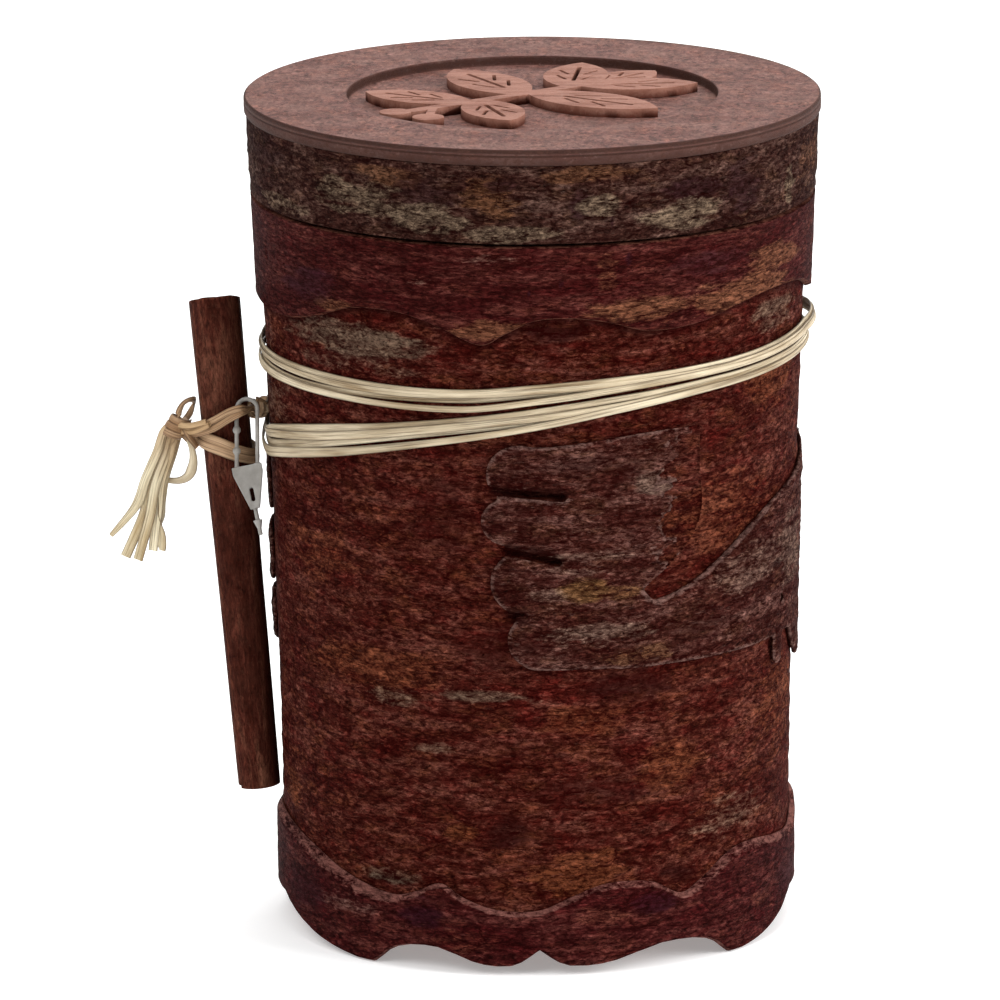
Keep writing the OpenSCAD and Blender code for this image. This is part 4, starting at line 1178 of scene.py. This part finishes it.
# low reliefs: the solids' own outlines, worn round and given bark of their own
reliefLook = {
    "voxel": 0.36, "radius": 49, "sharp": 70, "edgeWide": 0.95, "paredBy": 0.95, "ridgeUp": 0.2,
    "lipUp": 0.55,
    "noise": {"streak": (9, 5, 4, 29), "chip": (4, 3, 3, 38), "drift": (13, 1.5, 2, 47)},
    "pared": (31.5, 33.5, 71),  # azimuths and height where the relief was pared down to the wall
    # raised cut along the arm's upper edge
    "ridge": [(23.2, 71.7), (24.6, 70.1), (27, 69.3), (31.9, 70.9), (38, 73.7), (44.8, 76.3),
              (52.5, 79.6), (61.9, 83.4), (74.5, 86.5)],
    "ochre": [(10, 72.5, 6, 2.6, 0.8), (18, 72, 5, 1.6, 0.5), (22, 60, 10, 2.4, 0.4),
              (-120, 70, 14, 4, 0.5)],
    "lichen": [(26, 92, 6, 2.6, 0.7), (14, 64, 16, 3.4, 0.7), (55, 72, 16, 6, 0.5), (10, 78, 12, 3, 0.4),
               (72, 72, 10, 8, 0.7), (2, 71, 6, 3, 0.5), (-110, 80, 16, 6, 0.7)],
    "smudge": [(15, 95, 12, 3, 0.35), (36, 64, 12, 3, 0.5), (0, 63, 5, 3, 0.4),
               (65, 70.6, 3.4, 1.4, 1.0)],
}


def reliefSheet(name, nodeName):
    look = reliefLook
    made = evenCopy(nodeName, look["voxel"])
    p = np.zeros(len(made.vertices) * 3)
    made.vertices.foreach_get("co", p)
    p = p.reshape(-1, 3) / mm
    faces = [tuple(f.vertices) for f in made.polygons]
    bpy.data.meshes.remove(made)
    r = np.hypot(p[:, 0], p[:, 1])
    out = np.stack([p[:, 0] / r, p[:, 1] / r, 0 * r], -1)
    a, z = np.degrees(np.arctan2(p[:, 0], -p[:, 1])), p[:, 2]
    rise = r - wallR(z) - wallShape["glue"]
    rim = np.where((rise > 0.25) & (rise < 0.75))[0]  # points on the cut sides
    tree = kdtree.KDTree(len(rim))
    for k, i in enumerate(rim):
        tree.insert(p[i], k)
    tree.balance()
    away = np.array([tree.find(q)[2] for q in p])
    streak, chip, drift = (grain(p, *look["noise"][key]) for key in ("streak", "chip", "drift"))
    torn = 0.5 * streak + 0.5 * chip
    onWall = p * np.stack([wallR(z) / r, wallR(z) / r, 1 + 0 * r], -1)  # the wall's own grain below
    wallTorn = sum(0.5 * sheetGrain(onWall, key, wallLook["seed"]) for key in ("streak", "chip"))
    top = softStep(rise, 0.4, 0.9)
    toRidge = fromLine(a, z, look["ridge"], look["radius"])
    ridge = softStep(toRidge, 0.8, 0.2) * softStep(chip, 0.2, 0.45)
    clear = 1 - (toRidge < 1.6)
    a0, a1, z0 = look["pared"]
    far = a + 22 * (chip - 0.5) + 16 * (drift - 0.5)
    pared = softStep(np.maximum(far, a - 3.4), a0, a1) * softStep(z + 5 * (chip - 0.5), z0, z0 + 3)
    pared = pared * (a < 42) * clear
    tear = softStep(np.abs(far - a0 + 0.6), 1.5, 0.4) * (a < a1 + 3) * clear
    tear = tear * softStep(z, z0 + 2, z0 + 6) * softStep(streak, 0.42, 0.56)
    d = 0.62 * (streak - 0.5) + 0.5 * (chip - 0.5) - 0.1 - 0.2 * softStep(away, 1.3, 0.2) * (1 - ridge)
    d = np.clip(d, -0.5, 0.12) * (1 - pared) - look["paredBy"] * pared + look["ridgeUp"] * ridge
    p += out * (d * top)[:, None]
    lip = np.zeros(len(p))
    for line, *_ in wallLook["grooves"]:  # shaded upper lip of each slit
        raised = [(turn, height + look["lipUp"]) for turn, height in line]
        lip = np.maximum(lip, softStep(fromLine(a, z, raised, look["radius"]), 1.5, 0.8))
    worn = softStep(away, look["edgeWide"], 0.25) * softStep(rise, 0.3, 0.7) * softStep(chip, 0.32, 0.55)
    worn = worn * (1 - pared) * (1 - lip)
    masks = {key: patchMask(a, z, look[key], torn) for key in patchKeys}
    masks["smudge"] = np.maximum(masks["smudge"], lip)
    for key in patchKeys:
        masks[key] = masks[key] * (1 - pared) + patchMask(a, z, wallLook[key], wallTorn) * pared
    masks["edge"] = np.maximum(np.maximum(0.85 * worn, 0.8 * ridge), 0.9 * tear)
    masks["pared"] = pared
    piece = buildMesh(name, p, faces, finish["relief"], masks, look["sharp"])
    return seat(piece, "container", "bark_relief", nodeName)


reliefSheet("cloudRelief", "cloud_relief")
reliefSheet("sideRelief", "side_relief")
print("reliefs laid on")


# lid board and the carved sprig in its recess
boardLook = {
    "steps": 360, "top": 155.0, "low": 152.0, "radius": 53.0, "recess": 34.0, "deep": 1.8, "round": 0.5,
    "line": 153.75, "wave": (12, 1, 4, 51), "waveBy": 0.22, "swell": (14, 3, 3, 57), "swellBy": 0.3,
}


def turnBoard():
    look = boardLook
    radius, recess, top, low, line = (look[key] for key in ("radius", "recess", "top", "low", "line"))
    floor = top - look["deep"]
    edgeR, edgeZ = radius - look["round"], top - look["round"]
    profile = [(r, floor, 0) for r in np.linspace(0.4, recess - 0.3, 34)]  # radius, height, and how much of the dark edge colour shows
    profile += [(recess - 0.08, floor + 0.08, 0.6), (recess, floor + 0.5, 0.8), (recess, top - 0.5, 0.8),
                (recess + 0.12, top - 0.08, 0.5)]
    profile += [(r, top, 0) for r in np.linspace(recess + 0.5, edgeR - 0.2, 24)]
    for t in np.radians(np.linspace(90, 0, 6)):
        turn, up = math.cos(t), math.sin(t)
        profile.append((edgeR + look["round"] * turn, edgeZ + look["round"] * up, math.sqrt(turn)))
    profile += [(radius, line + 0.3, 0.55), (radius - 0.12, line, 1.0), (radius, line - 0.3, 0.65)]
    profile += [(radius, low + 0.35, 0.8), (radius - 0.2, low, 1.0)]
    profile += [(r, low, 0) for r in (40, 20, 0.4)]
    rows = np.array(profile)
    a = np.arange(0, 360, 360 / look["steps"])
    r, z = np.broadcast_arrays(rows[:, 0][None, :], rows[:, 1][None, :] + 0 * a[:, None])
    p = ringAt(r, np.broadcast_to(a[:, None], r.shape), z)
    flat = (np.abs(rows[:, 1] - top) < 0.01) | (np.abs(rows[:, 1] - floor) < 0.01)
    wave = grain(p * np.array([1, 3, 1]), *look["wave"]) - 0.5
    p[..., 2] += np.where(flat[None], np.minimum(wave * look["waveBy"] - 0.05, 0), 0)
    swell = grain(p, *look["swell"]) - 0.5
    side = (rows[:, 0] > radius - 0.5)[None]
    scale = 1 + np.where(side, np.minimum(swell * look["swellBy"] - 0.03, 0), 0) / radius
    p[..., :2] *= scale[..., None]
    sides = len(rows)
    faces = ringFaces(len(a), sides, True)
    faces = [f for f in faces if f[0] % sides != sides - 1]  # no wall between the two middles
    faces.append([i * sides for i in range(len(a))])
    faces.append([i * sides + sides - 1 for i in reversed(range(len(a)))])
    faces = [f[::-1] for f in faces]
    edge = np.broadcast_to(rows[:, 2][None], r.shape)
    piece = buildMesh("lidBoard", p, faces, finish["board"], {"edge": edge.ravel()})
    seat(piece, "lid", "board", "lid_top")


sprigLook = {"join": 2e-6, "flat": 1, "rimAngle": 0.8, "bevel": 0.22, "dark": (0.0002, 0.0007), "sharp": 35}


def carveSprig():
    look = sprigLook
    work = bmesh.new()
    work.from_mesh(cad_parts["lid_ornament"].data)
    bmesh.ops.remove_doubles(work, verts=work.verts, dist=look["join"])
    flat = math.radians(look["flat"])
    bmesh.ops.dissolve_limit(work, angle_limit=flat, verts=work.verts, edges=work.edges)
    top = max(v.co.z for v in work.verts)
    rims = [e for e in work.edges if min(v.co.z for v in e.verts) > top - 1e-5 and len(e.link_faces) == 2
            and e.calc_face_angle(0) > look["rimAngle"]]
    bmesh.ops.bevel(work, geom=rims, offset=look["bevel"] * mm, segments=3, profile=0.6, affect="EDGES",
                    clamp_overlap=True)
    bmesh.ops.triangulate(work, faces=work.faces)
    mesh = bpy.data.meshes.new("lidSprig")
    work.to_mesh(mesh)
    work.free()
    p = np.array([v.co for v in mesh.vertices])
    high, low = (top - drop for drop in look["dark"])
    addValues(mesh, "edge", softStep(p[:, 2], high, low))  # dark down the cut sides
    piece = addPiece("lidSprig", mesh, finish["sprig"], look["sharp"])
    seat(piece, "lid", "ornament", "lid_ornament")


turnBoard()
carveSprig()
print("lid board turned and sprig carved")

# moulded tag: its solid, fused and rounded
tagLook = {"voxel": 0.13, "ease": 4}


def mouldTag():
    mesh = evenCopy("tag_loop", tagLook["voxel"], tagLook["ease"])
    mesh.name = "tagMoulding"
    piece = addPiece("tagMoulding", mesh, finish["tag"])
    seat(piece, "tag", "tag", "tag_loop")


mouldTag()
print("tag moulded")

# inside: sleeve, floor and lid lining keep their solids
for nodeName in ("inner_liner", "base_disc", "lid_liner"):
    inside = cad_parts[nodeName]
    inside.data.materials.clear()
    inside.data.materials.append(finish["inside"])
print("inside finished")
